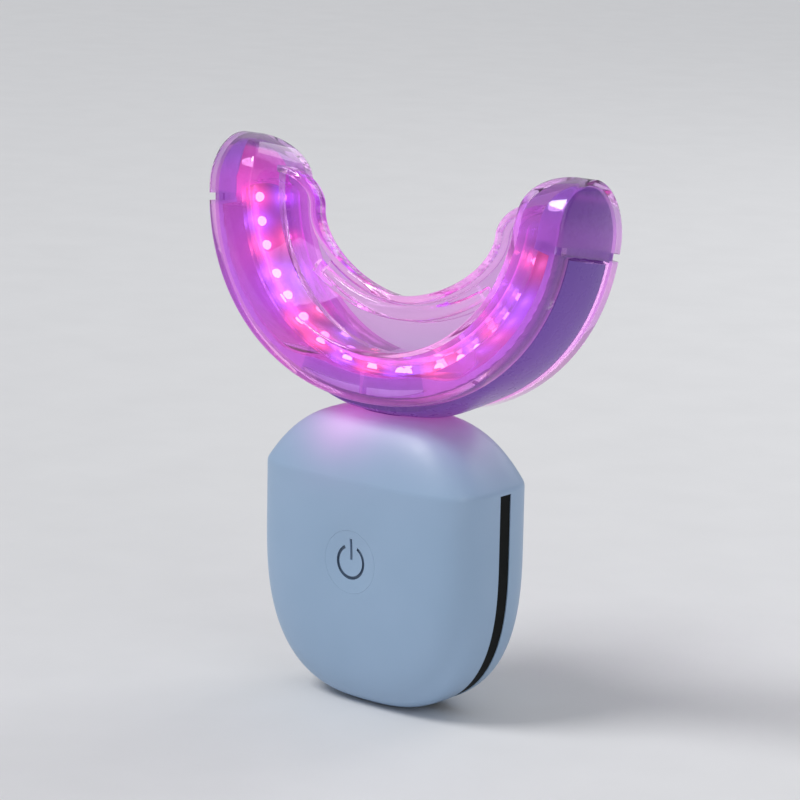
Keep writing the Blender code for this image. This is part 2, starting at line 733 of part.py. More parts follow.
def open_back_case(case):
    """Cuts the holes for the charging pins in the back half."""
    for side in (-1, 1):
        combine(case, rod("pin_hole", side * CONTACT_X, SEAT_Z, CONTACT_PIN_RADIUS + GAP, cell_back(),
                          HANDLE_THICKNESS))


def make_screws(finish):
    """Four case screws, put in from the back."""
    for i, (x, z) in enumerate(boss_places()):
        seat = screw_head_seat(x, z)
        levels = [(-SCREW_BITE, SCREW_SHANK_RADIUS / 2),
                  (-SCREW_BITE + SCREW_SHANK_RADIUS, SCREW_SHANK_RADIUS),
                  (seat, SCREW_SHANK_RADIUS), (seat, SCREW_HEAD_RADIUS),
                  (seat + SCREW_HEAD_HEIGHT / 2, SCREW_HEAD_RADIUS),
                  (seat + SCREW_HEAD_HEIGHT, SCREW_HEAD_TOP_RADIUS)]
        stepped_rod(f"case_screw_{i + 1}", x, z, levels, finish, steps=POST_STEPS)


def cell_back():
    """How far back the battery reaches."""
    return BOARD_THICKNESS - BOARD_FRONT + GAP + CELL_THICKNESS


def make_board(finishes):
    """The main board with its switch, chip, coil and ribbon socket, and the cell behind it."""
    half = BOARD_WIDTH / 2
    top = BOARD_LOW_Z + BOARD_HEIGHT
    back = BOARD_THICKNESS - BOARD_FRONT
    block("main_board", (-half, -BOARD_FRONT, BOARD_LOW_Z), (half, back, top), finishes["board"])
    block("battery", (-half, back + GAP, BOARD_LOW_Z), (half, cell_back(), top), finishes["cell"],
          bevel=CELL_EDGE)
    face = -BOARD_FRONT - GAP
    s = SWITCH_SIZE / 2
    block("switch_base", (-s, face - SWITCH_HEIGHT, BUTTON_Z - s), (s, face, BUTTON_Z + s), finishes["chip"])
    cap = face - SWITCH_HEIGHT - GAP
    rod("switch_cap", 0, BUTTON_Z, SWITCH_CAP_RADIUS, cap - SWITCH_CAP_HEIGHT, cap, finishes["cap"])
    c = CHIP_SIZE / 2
    low = BOARD_LOW_Z + CHIP_ABOVE_BOARD_FOOT
    block("controller_chip", (CHIP_X - c, face - CHIP_HEIGHT, low - c), (CHIP_X + c, face, low + c),
          finishes["chip"])
    rod("driver_coil", -CHIP_X, low, COIL_RADIUS, face - COIL_HEIGHT, face, finishes["chip"])
    block("ribbon_socket", (-PLUG_WIDTH / 2, face - PLUG_DEPTH, top - PLUG_HEIGHT - GAP),
          (PLUG_WIDTH / 2, face, top - GAP), finishes["cap"])


def ribbon_plane():
    """Depth at which the ribbon leaves its socket."""
    return -BOARD_FRONT - GAP - PLUG_DEPTH / 2


def pad_face(x, z):
    """Depth of the press pad's face: the handle's own surface, hollowed by a shallow ball."""
    ball = (DIMPLE_RADIUS ** 2 + DIMPLE_DEPTH ** 2) / (2 * DIMPLE_DEPTH)
    r = math.hypot(x, z - BUTTON_Z)
    hollow = math.sqrt(ball ** 2 - r ** 2) - (ball - DIMPLE_DEPTH)
    return -handle_depth(x, z, 0.0) + max(hollow, 0)


def make_button(finish):
    """The press pad: a disc in the handle's surface with a dimple, a symbol, a flange and a plunger."""
    seat = GAP - handle_depth(0, BUTTON_Z - BUTTON_FLANGE_RADIUS, SKIN_WALL)
    end = -BOARD_FRONT - GAP - SWITCH_HEIGHT - GAP - SWITCH_CAP_HEIGHT - BUTTON_REST_CLEARANCE
    back = seat + BUTTON_FLANGE_HEIGHT
    turned = [(BUTTON_RADIUS, seat), (BUTTON_FLANGE_RADIUS, seat), (BUTTON_FLANGE_RADIUS, back),
              (PLUNGER_RADIUS, back), (PLUNGER_RADIUS, end)]
    radii = [DIMPLE_RADIUS * (i + 1) / DIMPLE_STEPS for i in range(DIMPLE_STEPS)] + [BUTTON_RADIUS]
    rings = [[(x, pad_face(x, BUTTON_Z + z), BUTTON_Z + z) for x, z in oval(r, r)] for r in radii]
    rings += [[(x, y, BUTTON_Z + z) for x, z in oval(r, r)] for r, y in turned]
    points, faces = loft(rings)
    middle = len(points)
    points.append((0, pad_face(0, BUTTON_Z), BUTTON_Z))
    faces[0] = [middle, 1, 0]
    faces += [[middle, (i + 1) % ROUND_STEPS, i] for i in range(1, ROUND_STEPS)]
    pad = add_object("power_button", points, faces, finish)
    sink = pad_face(0, BUTTON_Z) + SYMBOL_DEPTH
    combine(pad, symbol_ring(-HANDLE_THICKNESS, sink))
    combine(pad, block("symbol_bar", (-SYMBOL_STROKE / 2, -HANDLE_THICKNESS, BUTTON_Z + SYMBOL_BAR_FOOT),
                       (SYMBOL_STROKE / 2, sink, BUTTON_Z + SYMBOL_BAR_TOP)))
    weld(pad)


def symbol_ring(front, back):
    """Cutter for the open ring of the on and off symbol."""
    start = math.radians(90 + SYMBOL_OPENING_DEG / 2)
    sweep = math.radians(360 - SYMBOL_OPENING_DEG)
    inner, outer = SYMBOL_RADIUS - SYMBOL_STROKE / 2, SYMBOL_RADIUS + SYMBOL_STROKE / 2
    rings = []
    for i in range(25):
        a = start + sweep * i / 24
        rings.append([(r * math.cos(a), y, BUTTON_Z + r * math.sin(a))
                      for r, y in ((inner, front), (outer, front), (outer, back), (inner, back))])
    return add_object("symbol_ring", *loft(rings))


def make_charging(finishes):
    """Two contacts in the flat seat on the back, and the magnets behind the case wall."""
    face = seat_face() - GAP / 3
    for side, word in ((-1, "left"), (1, "right")):
        stepped_rod(f"charge_contact_{word}", side * CONTACT_X, SEAT_Z,
                    [(face - CONTACT_PIN_LENGTH, CONTACT_PIN_RADIUS),
                     (face - CONTACT_HEAD_HEIGHT, CONTACT_PIN_RADIUS),
                     (face - CONTACT_HEAD_HEIGHT, CONTACT_RADIUS),
                     (face, CONTACT_RADIUS)], finishes["contact"])
        wall = handle_depth(MAGNET_X + MAGNET_RADIUS, SEAT_Z - MAGNET_RADIUS,
                            SKIN_WALL + GAP + CASE_WALL, CASE_BELOW_CREASE + CASE_WALL)
        rod(f"dock_magnet_{word}", side * MAGNET_X, SEAT_Z, MAGNET_RADIUS, wall - GAP - MAGNET_THICKNESS,
            wall - GAP, finishes["magnet"])


def make_ribbon(finish, lean):
    """Flat flexible lead from the board's socket up through the stem to the lamp strip."""
    top = BOARD_LOW_Z + BOARD_HEIGHT
    start = ribbon_plane()
    foot = lean @ Vector((0, 0, -STEM_LENGTH))
    end = lean @ Vector((0, 0, STRIP_OUTER - GAP))
    slot = CREASE_Z - CASE_BELOW_CREASE
    route = [Vector((0, start, top)), Vector((0, start, (top + slot) / 2)), Vector((0, start, slot)),
             foot.lerp(Vector((0, start, slot)), 0.4), foot, foot.lerp(end, 0.5), end]
    path = []
    for i in range(len(route) - 1):
        before, a, b = route[max(i - 1, 0)], route[i], route[i + 1]
        after = route[min(i + 2, len(route) - 1)]
        for k in range(4):
            t = k / 4
            path.append(0.5 * (2 * a + (b - before) * t + (2 * before - 5 * a + 4 * b - after) * t * t
                               + (3 * a - before - 3 * b + after) * t ** 3))
    path.append(end)
    rings = []
    half = RIBBON_WIDTH / 2
    for i, p in enumerate(path):
        run = (path[min(i + 1, len(path) - 1)] - path[max(i - 1, 0)]).normalized()
        across = Vector((0, run.z, -run.y)) * RIBBON_THICKNESS / 2
        rings.append([p + Vector((x, 0, 0)) + across * k for x, k in
                      ((-half, -1), (half, -1), (half, 1), (-half, 1))])
    add_object("flex_ribbon", *loft(rings), finish)


# Pieces of the mouthpiece
def make_arch_housing(finish, frame):
    """White arch with its stem. Its crowned foot follows the dome."""
    arch = arch_solid("arch_housing", backing_section, ARCH_REACH - RIM_THICKNESS - GAP,
                      TRAY_END_LENGTH - RIM_THICKNESS - GAP, finish, frame,
                      extra=(PANEL_END, PANEL_END - GAP))
    waist_low = -CLIP_BELOW_ARCH - CLIP_THICKNESS / 2 - GAP
    waist_high = -CLIP_BELOW_ARCH + CLIP_THICKNESS / 2 + GAP
    thin_x, thin_y = STEM_HALF_WIDTH - WAIST_DEPTH, STEM_HALF_DEPTH - WAIST_DEPTH
    stem = oval_solid("stem", [(-STEM_LENGTH, STEM_HALF_WIDTH, STEM_HALF_DEPTH),
                               (waist_low, STEM_HALF_WIDTH, STEM_HALF_DEPTH), (waist_low, thin_x, thin_y),
                               (waist_high, thin_x, thin_y), (waist_high, STEM_HALF_WIDTH, STEM_HALF_DEPTH),
                               (BACKING_OUTER, STEM_HALF_WIDTH, STEM_HALF_DEPTH)], None, frame, STEM_POWER)
    combine(arch, handle_solid("arch_dome_clearance", -GAP))
    combine(arch, stem, "UNION")
    half_x, half_y = RIBBON_WIDTH / 2 + GAP, RIBBON_THICKNESS / 2 + GAP + GAP
    combine(arch, block("ribbon_bore", (-half_x, -half_y, -STEM_LENGTH - OVERRUN),
                        (half_x, half_y, BACKING_INNER + OVERRUN), None, frame))
    return arch


def make_stem_parts(finishes, frame):
    """Seal and spring clip round the stem, inside the dome."""
    half_x, half_y = STEM_HALF_WIDTH + SEAL_MARGIN, STEM_HALF_DEPTH + SEAL_MARGIN
    ring = oval_solid("stem_seal", [(-SEAL_BELOW_ARCH, half_x, half_y), (OVERRUN, half_x, half_y)],
                      finishes["seal"], frame, STEM_POWER)
    combine(ring, handle_solid("seal_form", SKIN_WALL + GAP), "INTERSECT")
    combine(ring, stem_hole("seal_hole", frame))
    levels = [(-CLIP_BELOW_ARCH + half, STEM_HALF_WIDTH + CLIP_MARGIN, INNER_ROOM * CLIP_DEPTH_SHARE)
              for half in (-CLIP_THICKNESS / 2, CLIP_THICKNESS / 2)]
    clip = oval_solid("stem_clip", levels, finishes["clip"], frame, STEM_POWER)
    slot_x = STEM_HALF_WIDTH - WAIST_DEPTH + GAP
    slot_y = STEM_HALF_DEPTH - WAIST_DEPTH + GAP
    combine(clip, block("clip_slot", (-slot_x, -slot_y, -STEM_LENGTH), (slot_x, HANDLE_THICKNESS, 0),
                        None, frame))


def stem_hole(name, frame):
    """Cutter for the stem with its clearance."""
    levels = [(z, STEM_HALF_WIDTH + GAP, STEM_HALF_DEPTH + GAP) for z in (-STEM_LENGTH - OVERRUN, OVERRUN)]
    return oval_solid(name, levels, None, frame, STEM_POWER)


def make_lamps(finishes, frame):
    """Each lamp is its own piece on the strip: a square package with a round lens."""
    half = LAMP_SIZE / 2
    base = LAMP_HEIGHT - LAMP_LENS_HEIGHT
    square = [signed_power(math.cos(math.radians(a)), 0) * half for a in (45, 135, 225, 315)]
    rise = [signed_power(math.sin(math.radians(a)), 0) * half for a in (45, 135, 225, 315)]
    rings = [[(x, y, z) for x, y in zip(square, rise)] for z in (0, base)]
    package, faces = loft(rings)
    faces.pop(1)
    turn = [math.radians(45) + 2 * math.pi * i / LENS_STEPS for i in range(LENS_STEPS)]
    foot = len(package)
    package += [(LAMP_LENS_RADIUS * math.cos(a), LAMP_LENS_RADIUS * math.sin(a), base) for a in turn]
    package += [(LAMP_LENS_TOP_RADIUS * math.cos(a), LAMP_LENS_TOP_RADIUS * math.sin(a), LAMP_HEIGHT)
                for a in turn]
    for i in range(LENS_STEPS):
        j = (i + 1) % LENS_STEPS
        faces.append([foot + i, foot + j, foot + LENS_STEPS + j, foot + LENS_STEPS + i])
    faces.append([foot + LENS_STEPS + i for i in range(LENS_STEPS)])
    per_side = LENS_STEPS // 4
    for corner in range(4):
        arc = [foot + (corner * per_side + k) % LENS_STEPS for k in range(per_side + 1)]
        faces.append([4 + corner, 4 + (corner + 1) % 4] + arc[::-1])
    rows = [("near_left", -LAMP_ROW, -1, NEAR_LEFT_SHARES), ("near_right", -LAMP_ROW, 1, NEAR_RIGHT_SHARES),
            ("far_left", LAMP_ROW, -1, FAR_SHARES), ("far_right", LAMP_ROW, 1, FAR_SHARES[1:])]
    for row, y, side, places in rows:
        for i, (colour, share) in enumerate(places):
            along = side * share * LAMP_REACH
            tangent = arch_frame(along)[1]
            lamp = add_object(f"lamp_{colour}_{row}_{i + 1}", package, faces, finishes[colour], frame)
            up = tangent.cross(raked(0, 1, 0)).normalized()
            turn_to = Matrix((tangent, up.cross(tangent), up)).transposed().to_4x4()
            place = arch_point(along, LAMP_OUTER + swell(along), y)
            lamp.matrix_local = Matrix.Translation(place) @ turn_to


def make_carriers(finish, frame):
    """Clear spacer on each arm between the thin white panel and the lamp strip."""
    for side, word in ((-1, "left"), (1, "right")):
        rings = []
        for i in range(CARRIER_STEPS + 1):
            along = CARRIER_START + (PANEL_END - GAP - GAP - CARRIER_START) * i / CARRIER_STEPS
            outer, inner = backing_inner(along) + GAP, STRIP_OUTER - GAP + swell(along)
            y = TRAY_HALF_HEIGHT - RIM_THICKNESS - GAP
            rings.append([arch_point(side * along, inset, v) for inset, v in
                          ((outer, -y), (outer, y), (inner, y), (inner, -y))])
        add_object(f"strip_carrier_{word}", *loft(rings), finish, frame)


def make_window(finish, frame):
    """Clear lid over the lamps: a plate with a skirt all round."""
    window = arch_solid("light_window", flat_section(STRIP_OUTER, WINDOW_INNER, WINDOW_HALF_HEIGHT),
                        WINDOW_REACH, WINDOW_END_LENGTH, finish, frame)
    hollow = arch_solid("window_hollow", flat_section(STRIP_OUTER - OVERRUN / 4, WINDOW_OUTER,
                                                      WINDOW_HALF_HEIGHT - WINDOW_SKIRT),
                        WINDOW_REACH - WINDOW_SKIRT, WINDOW_END_LENGTH - WINDOW_SKIRT, None, frame)
    combine(window, hollow)


def make_strip(finish, frame):
    """Flexible strip that carries the lamps."""
    arch_solid("lamp_strip", flat_section(STRIP_OUTER, STRIP_INNER, STRIP_HALF_HEIGHT),
               WINDOW_REACH - WINDOW_SKIRT - GAP, WINDOW_END_LENGTH - WINDOW_SKIRT, finish, frame)


def make_tray(finish, frame):
    """Clear silicone tray: the wall that wraps the arch, the bite plate, the inner wall and its bead."""
    tray = arch_solid("silicone_tray", tray_section, ARCH_REACH, TRAY_END_LENGTH, finish, frame)
    hollow = arch_solid("tray_hollow", hollow_section, ARCH_REACH - RIM_THICKNESS,
                        TRAY_END_LENGTH - RIM_THICKNESS, None, frame)
    combine(tray, hollow)
    opening_end = NOTCH_ALONG - NOTCH_WIDTH / 2
    combine(tray, arch_solid("tray_opening", opening_section, opening_end, GAP, None, frame))
    combine(tray, handle_solid("tray_dome_clearance", -GAP))
    for side in (-1, 1):
        for face in (-1, 1):
            combine(tray, notch_cutter(side, face, frame))
        combine(tray, slot_cutter(side, frame))
    path = inner_edge()
    plate_outer = []
    for i in range(41):
        along = PLATE_REACH * (2 * i / 40 - 1)
        p = arch_point(along, LINING_MIDDLE + swell(along), 0)
        plate_outer.append((p.x, p.z))
    outline = path + plate_outer[::-1][1:-1]
    half = PLATE_THICKNESS / 2
    plate = add_object("bite_plate", *loft([[raked(x, y, z) for x, z in outline] for y in (-half, half)]),
                       None, frame)
    combine(tray, plate, "UNION")
    combine(tray, wall_along("inner_wall", path, INNER_WALL_THICKNESS, INNER_WALL_HEIGHT, frame), "UNION")
    front = [p for p in path if abs(p[0]) < BEAD_HALF_WIDTH and p[1] < CENTRE_UP - INNER_CENTRE_DROP]
    combine(tray, wall_along("front_bead", offset_path(front, INNER_WALL_THICKNESS / 2),
                             BEAD_THICKNESS - INNER_WALL_THICKNESS / 2, BEAD_HEIGHT, frame), "UNION")
    return tray


def notch_cutter(side, face, frame):
    """Cutter for the short slot where a tip pocket ends and the long lip begins."""
    low, high = NOTCH_ALONG - NOTCH_WIDTH / 2, NOTCH_ALONG + NOTCH_WIDTH / 2
    near = face * (TRAY_HALF_HEIGHT - NOTCH_REACH)
    far = face * (TRAY_HALF_HEIGHT + GAP)
    rings = [[arch_point(side * s, inset, y) for inset, y in
              ((-OVERRUN / 2, near), (-OVERRUN / 2, far), (LIP_INNER + GAP, far), (LIP_INNER + GAP, near))]
             for s in (low, high)]
    return add_object("notch", *loft(rings), None, frame)


def slot_cutter(side, frame):
    """Cutter for one half of the thin slot in the front rim, which a tab divides in the middle."""
    near = TRAY_HALF_HEIGHT - RIM_THICKNESS - GAP / 2
    far = TRAY_HALF_HEIGHT + GAP
    rings = []
    for i in range(SLOT_STEPS + 1):
        turn = math.radians(80) * i / SLOT_STEPS
        along = SLOT_TAB / 2 + (SLOT_REACH - SLOT_TAB) * math.sin(turn)
        high = SLOT_HALF_HEIGHT * math.cos(turn)
        rings.append([arch_point(side * along, inset, -y) for inset, y in
                      ((SLOT_INSET - high, far), (SLOT_INSET - high, near), (SLOT_INSET + high, near),
                       (SLOT_INSET + high, far))])
    return add_object("slot", *loft(rings), None, frame)


def main():
    clear_scene()
    white = material("white_soft_touch", (0.86, 0.87, 0.90), 0.45)
    white_hard = material("white_plastic", (0.88, 0.88, 0.92), 0.30)
    black = material("black_plastic", (0.02, 0.02, 0.025), 0.55)
    finishes = {
        "board": material("green_board", (0.03, 0.20, 0.10), 0.45),
        "cell": material("cell_foil", (0.55, 0.57, 0.60), 0.35, 0.6),
        "chip": material("chip_black", (0.03, 0.03, 0.03), 0.50),
        "cap": material("socket_white", (0.75, 0.73, 0.68), 0.50),
        "contact": material("contact_gold", (0.83, 0.62, 0.27), 0.25, 1.0),
        "magnet": material("magnet_nickel", (0.60, 0.60, 0.61), 0.30, 1.0),
        "seal": material("seal_rubber", (0.12, 0.12, 0.13), 0.70),
        "clip": material("clip_steel", (0.55, 0.56, 0.58), 0.35, 1.0),
        "red": material("lamp_red", (0.95, 0.16, 0.20), 0.25),
        "blue": material("lamp_blue", (0.24, 0.22, 0.95), 0.25),
    }
    steel = material("screw_steel", (0.50, 0.51, 0.53), 0.35, 1.0)
    ribbon = material("ribbon_amber", (0.62, 0.34, 0.08), 0.40)
    strip = material("strip_white", (0.85, 0.82, 0.84), 0.45)
    window = material("window_clear", (0.93, 0.90, 0.95), 0.08, alpha=0.30)
    silicone = material("clear_silicone", (0.92, 0.88, 0.95), 0.18, alpha=0.30)

    frame = bpy.data.objects.new("arch_frame", None)
    bpy.context.scene.collection.objects.link(frame)
    frame.location = (0, -ARCH_SET_FORWARD, PIVOT_Z)
    frame.rotation_euler = (-math.radians(ARCH_LEAN_DEG), 0, 0)
    lean = Matrix.Translation(frame.location) @ frame.rotation_euler.to_matrix().to_4x4()

    make_skin(white, stem_hole("skin_stem_hole", frame))
    open_front_case(make_case_half("case_front", -1, black))
    open_back_case(make_case_half("case_back", 1, black))
    make_screws(steel)
    make_board(finishes)
    make_button(white)
    make_charging(finishes)
    make_ribbon(ribbon, lean)
    make_arch_housing(white_hard, frame)
    make_stem_parts(finishes, frame)
    make_carriers(window, frame)
    make_window(window, frame)
    make_strip(strip, frame)
    make_lamps(finishes, frame)
    make_tray(silicone, frame)


main()
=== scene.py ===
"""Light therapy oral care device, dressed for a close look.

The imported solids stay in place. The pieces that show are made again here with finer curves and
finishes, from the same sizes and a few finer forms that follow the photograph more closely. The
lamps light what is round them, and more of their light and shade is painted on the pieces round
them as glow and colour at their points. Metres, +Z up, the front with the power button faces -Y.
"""
from math import copysign, cos, hypot, pi, radians, sin, sqrt, tan

import bmesh
import bpy
import numpy as np
from mathutils import Matrix, Vector


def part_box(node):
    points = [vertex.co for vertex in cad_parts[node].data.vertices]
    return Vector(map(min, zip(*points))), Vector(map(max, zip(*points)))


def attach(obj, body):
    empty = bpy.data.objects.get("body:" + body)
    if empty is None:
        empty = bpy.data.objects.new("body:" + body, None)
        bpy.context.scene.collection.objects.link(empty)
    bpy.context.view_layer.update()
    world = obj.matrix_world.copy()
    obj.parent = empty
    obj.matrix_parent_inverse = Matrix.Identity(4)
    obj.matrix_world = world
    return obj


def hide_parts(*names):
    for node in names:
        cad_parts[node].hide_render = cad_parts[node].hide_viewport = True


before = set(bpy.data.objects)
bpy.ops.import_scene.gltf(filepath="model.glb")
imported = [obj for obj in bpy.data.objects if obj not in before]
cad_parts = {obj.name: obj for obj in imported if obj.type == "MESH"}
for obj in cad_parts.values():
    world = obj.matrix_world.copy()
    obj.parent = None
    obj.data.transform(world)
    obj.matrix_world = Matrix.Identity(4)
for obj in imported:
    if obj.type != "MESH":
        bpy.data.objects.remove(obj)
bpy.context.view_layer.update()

# Camera, fitted to the photograph
CAMERA_AZIMUTH_DEG = 39.5
CAMERA_HEIGHT_DEG = 12.6
CAMERA_ROLL_DEG = 1.1
CAMERA_DISTANCE = 0.5217
CAMERA_AIM = (0.0, 0.0, 0.037)
CAMERA_AIM_RIGHT = 0.000846
CAMERA_AIM_UP = 0.010935
CAMERA_LENS = 149.9
CAMERA_NEAR = 0.01

# Studio, with its area lights as place, size and power
FLOOR_HALF_WIDTH = 2.0
WORLD_COLOUR = (0.80, 0.82, 0.86)
WORLD_STRENGTH = 0.45
SUN_POWER = 1.7
SUN_ANGLE_DEG = 24.0
SUN_DIRECTION = (0.45, 0.55, -0.95)
AREA_LIGHTS = {"fill": ((0.60, -0.25, 0.30), 0.5, 0.8), "back": ((0.10, 0.60, 0.45), 0.4, 1.0)}
AREA_LIGHT_AIM = (0.0, 0.0, 0.05)

# Sizes of the solids
GAP = 0.0003
OVERRUN = 0.004
HANDLE_WIDTH = 0.0424
HANDLE_THICKNESS = 0.0214
STRAIGHT_SIDE = 0.0103
ROUND_BOTTOM = 0.0267
DOME_HEIGHT = 0.0100
OUTLINE_POWER = 2.74
SECTION_POWER = 4.2
DOME_POWER = 3.4
SKIN_WALL = 0.0016
SLIT_WIDTH = 0.0026
SLIT_BELOW_CREASE = 0.0006
SLIT_Y = 0.0012
BUTTON_Z = 0.0241
BUTTON_RADIUS = 0.0050
FLANGE_THICKNESS = 0.0007
PAD_STEM_RADIUS = 0.0016
SYMBOL_RADIUS = 0.00255
SYMBOL_STROKE = 0.0005
SYMBOL_DEPTH = 0.00015
SYMBOL_BAR_TOP = 0.0037
SYMBOL_BAR_FOOT = 0.0003
SYMBOL_OPENING_DEG = 56.0
SEAT_Z = 0.0200
SEAT_WIDTH = 0.0170
SEAT_HEIGHT = 0.0076
SEAT_DEPTH = 0.0010
SEAT_POWER = 4.0
CONTACT_X = 0.0045
CONTACT_RADIUS = 0.0020
ARCH_HALF_WIDTH = 0.0352
ARCH_DEPTH = 0.0320
ARCH_ARM = 0.0071
ARCH_POWER = 2.11
ARCH_ABOVE_CREASE = 0.0106
ARCH_SET_FORWARD = 0.00075
ARCH_LEAN = radians(6.0)
ARCH_RAKE = tan(radians(5.0))
ARM_SWELL = 0.0012
ARM_SWELL_SHARE = 1.25
STEM_HALF_SIZES = (0.0048, 0.0026)
STEM_POWER = 3.0
STEM_LENGTH = 0.0082
TRAY_HALF_HEIGHT = 0.0081
TRAY_END = 0.0090
TIP_ROUND = 0.0055
TIP_INSET = 0.0026
TIP_CAP = 0.0004
TRAY_CORNER = 0.0009
LIP_THICKNESS = 0.0010
LIP_REACH = 0.0031
RIM = 0.00095
BACKING_THICKNESS = 0.0030
BACKING_CROWN = 0.0003
FOOT_CROWN = 0.0013
FOOT_LENGTH = 0.0060
FOOT_FADE = 0.0130
BACKING_PANEL = 0.0011
BACKING_MIDDLE = 0.0090
BACKING_THINNING = 0.0110
CARRIER_START = 0.0150
STRIP_THICKNESS = 0.0003
STRIP_HALF_HEIGHT = 0.0046
LAMP_SIZE = 0.0018
LAMP_HEIGHT = 0.0008
WINDOW_THICKNESS = 0.0008
WINDOW_HALF_HEIGHT = 0.0058
WINDOW_SKIRT = 0.0008
WINDOW_END = 0.0025
WINDOW_BELOW_TIP = 0.0068
LINING_THICKNESS = 0.0007
NOTCH_BELOW_TIP = 0.0112
NOTCH_WIDTH = 0.0012
NOTCH_REACH = 0.0022
SLOT_INSET = 0.00205
SLOT_HALF_HEIGHT = 0.00055
SLOT_REACH = 0.0135
SLOT_TAB = 0.0007
PLATE_THICKNESS = 0.0020
INNER_HALF_WIDTH = 0.0180
INNER_DEPTH = 0.0114
INNER_POWER = 1.7
INNER_CENTRE_DROP = 0.0035
PLATE_TIP_RISE = 0.0060
INNER_WALL = 0.0012
INNER_WALL_HEIGHT = 0.0032
BEAD_HEIGHT = 0.0042
CREASE_Z = STRAIGHT_SIDE + ROUND_BOTTOM
PIVOT_Z = CREASE_Z + ARCH_ABOVE_CREASE

# Sizes of the finer forms of this scene
CREASE_ROUNDING = 0.0005
DIMPLE_RADIUS = 0.0074
DIMPLE_DEPTH = 0.00055
DIMPLE_RISE = 0.0008
SEAM_INSIDE = 0.00002
INK_RADIUS = 0.00425
BACKING_EDGE = 0.0003
PANEL_SHARE = 0.70
CROWN_FALL_SHARE = 0.28
CROWN_POWER = 2.4
LENS_RADIUS = 0.00080
LENS_HEIGHT = 0.00090
PACKAGE_HEIGHT = 0.00015
LAMP_CHAMFER = 0.0001
WINDOW_EDGE = 0.00035
FOOT_EDGE = 0.0001
TRAY_INNER_EDGE = 0.0005
FINE_EDGE = 0.0002
NOTCH_INSET = 0.0034
NOTCH_RIM_SHARE = 0.6
BEAD_THICKNESS = 0.0024
BEAD_HALF_WIDTH = 0.0158
BEAD_LOW_Z = 0.0133
BEAD_RISE = 0.0050
BEAD_POWER = 2.2
BEAD_EDGE = 0.0006
END_FACE_SHARE = 0.04
SLOT_END_SHARE = 0.1

# Counts of points
SKIN_STEPS = (112, 40, 22)
BAND_STEPS = (112, 26, 6)
HOLLOW_STEPS = (48, 10, 10)
CLEARANCE_STEPS = (48, 12, 16)
BUTTON_STEPS = 96
LENS_RING_DEGREES = (0, 14, 28, 42, 56, 70, 82)

# Layers of the arch as insets from its outer curve
BACKING_OUTER = LIP_THICKNESS + GAP
STRIP_OUTER = BACKING_OUTER + BACKING_THICKNESS + GAP
STRIP_INNER = STRIP_OUTER + STRIP_THICKNESS
LAMP_OUTER = STRIP_INNER + GAP
WINDOW_OUTER = LAMP_OUTER + LAMP_HEIGHT + GAP
WINDOW_INNER = WINDOW_OUTER + WINDOW_THICKNESS
LINING_OUTER = WINDOW_INNER + GAP
LINING_INNER = LINING_OUTER + LINING_THICKNESS
LINING_MIDDLE = (LINING_OUTER + LINING_INNER) / 2
LIP_EDGE = TRAY_HALF_HEIGHT - LIP_REACH
BACKING_HALF = TRAY_HALF_HEIGHT - RIM - GAP
BACKING_END = TRAY_END - RIM - GAP

# Light of the lamps painted on each piece as glow, as reach and strength
GLOW = {"red": (1.0, 0.13, 0.24), "blue": (0.40, 0.16, 1.0)}
SKIN_GLOW = (0.0100, 0.12)
ARCH_GLOW = (0.0055, 0.05)
ARCH_WASH = (0.0140, 0.08)
INSIDE_GLOW = (0.0100, 0.12)
CARRIER_GLOW = (0.0040, 1.0)
STRIP_GLOW = (0.0026, 0.9)
STRIP_WASH = (0.0060, 0.06)
WINDOW_EDGE_GLOW = (0.0060, 0.5)
TRAY_LINE_GLOW = (0.0120, 0.10)
TRAY_GLOW = (0.0050, 0.01)
HOT_SPOT_REACH = 0.0009
HOT_SPOT_COLOUR = (0.9, 0.6, 0.9)
HALO_REACH = 0.0015
HALO_FACE_SHARE = 0.85
HALO_SKIRT_SHARE = 0.42
HUE_REACH = 0.0140
DARKEST_LIGHT = 0.0001
# Painted pool of the lamps' pink light on the dome in front of the arch's foot, as place, reach and colour
LIGHT_POOL_PLACE = (-0.0050, -0.0070, 0.0455)
LIGHT_POOL_REACH = 0.0060
LIGHT_POOL_COLOUR = (0.26, 0.03, 0.18)

# Colours painted on the mouthpiece for the lamps' light and shade, and where they change
# The white arch is painted dark violet in shade on its face, pale where its sides are lit and red where
# the lamps glow in its lobes
FACE_PAINTED_SHADE = (0.12, 0.07, 0.34)
SIDE_PAINTED_LIGHT = (0.54, 0.40, 0.80)
INSIDE_PAINTED_SHADE = (0.24, 0.09, 0.32)
WASH_COLOUR = (0.75, 0.6, 1.0)
FACE_GLOW_SHARE = 0.4
LOBE_FACE_PAINTED_LIGHT = (0.30, 0.13, 0.56)
LOBE_INSIDE_PAINTED_GLOW = (0.75, 0.14, 0.34)
LOBE_BLEND = 0.0020
LOBE_CAP = 0.0012
LOBE_GAIN = 2.5
# Clear pieces tinted pink and violet to stand in for the lamps' light in them
CARRIER_LIT_PINK = (0.90, 0.74, 0.95)
WINDOW_LIT_PINK = (0.97, 0.90, 0.98)
WINDOW_HUE_SHARE = 0.35
WINDOW_EDGE_SOFT = 0.00045
TRAY_LIT_VIOLET = (0.77, 0.48, 0.88)
TRAY_HUE_SHARE = 0.60
RIM_LINE_SOFT = 0.0008
LIP_LINE_SOFT = 0.0004
RIDGE_SOFT = 0.0005
RIDGE_SHARE = 0.7
RIDGE_INSET = 0.0100


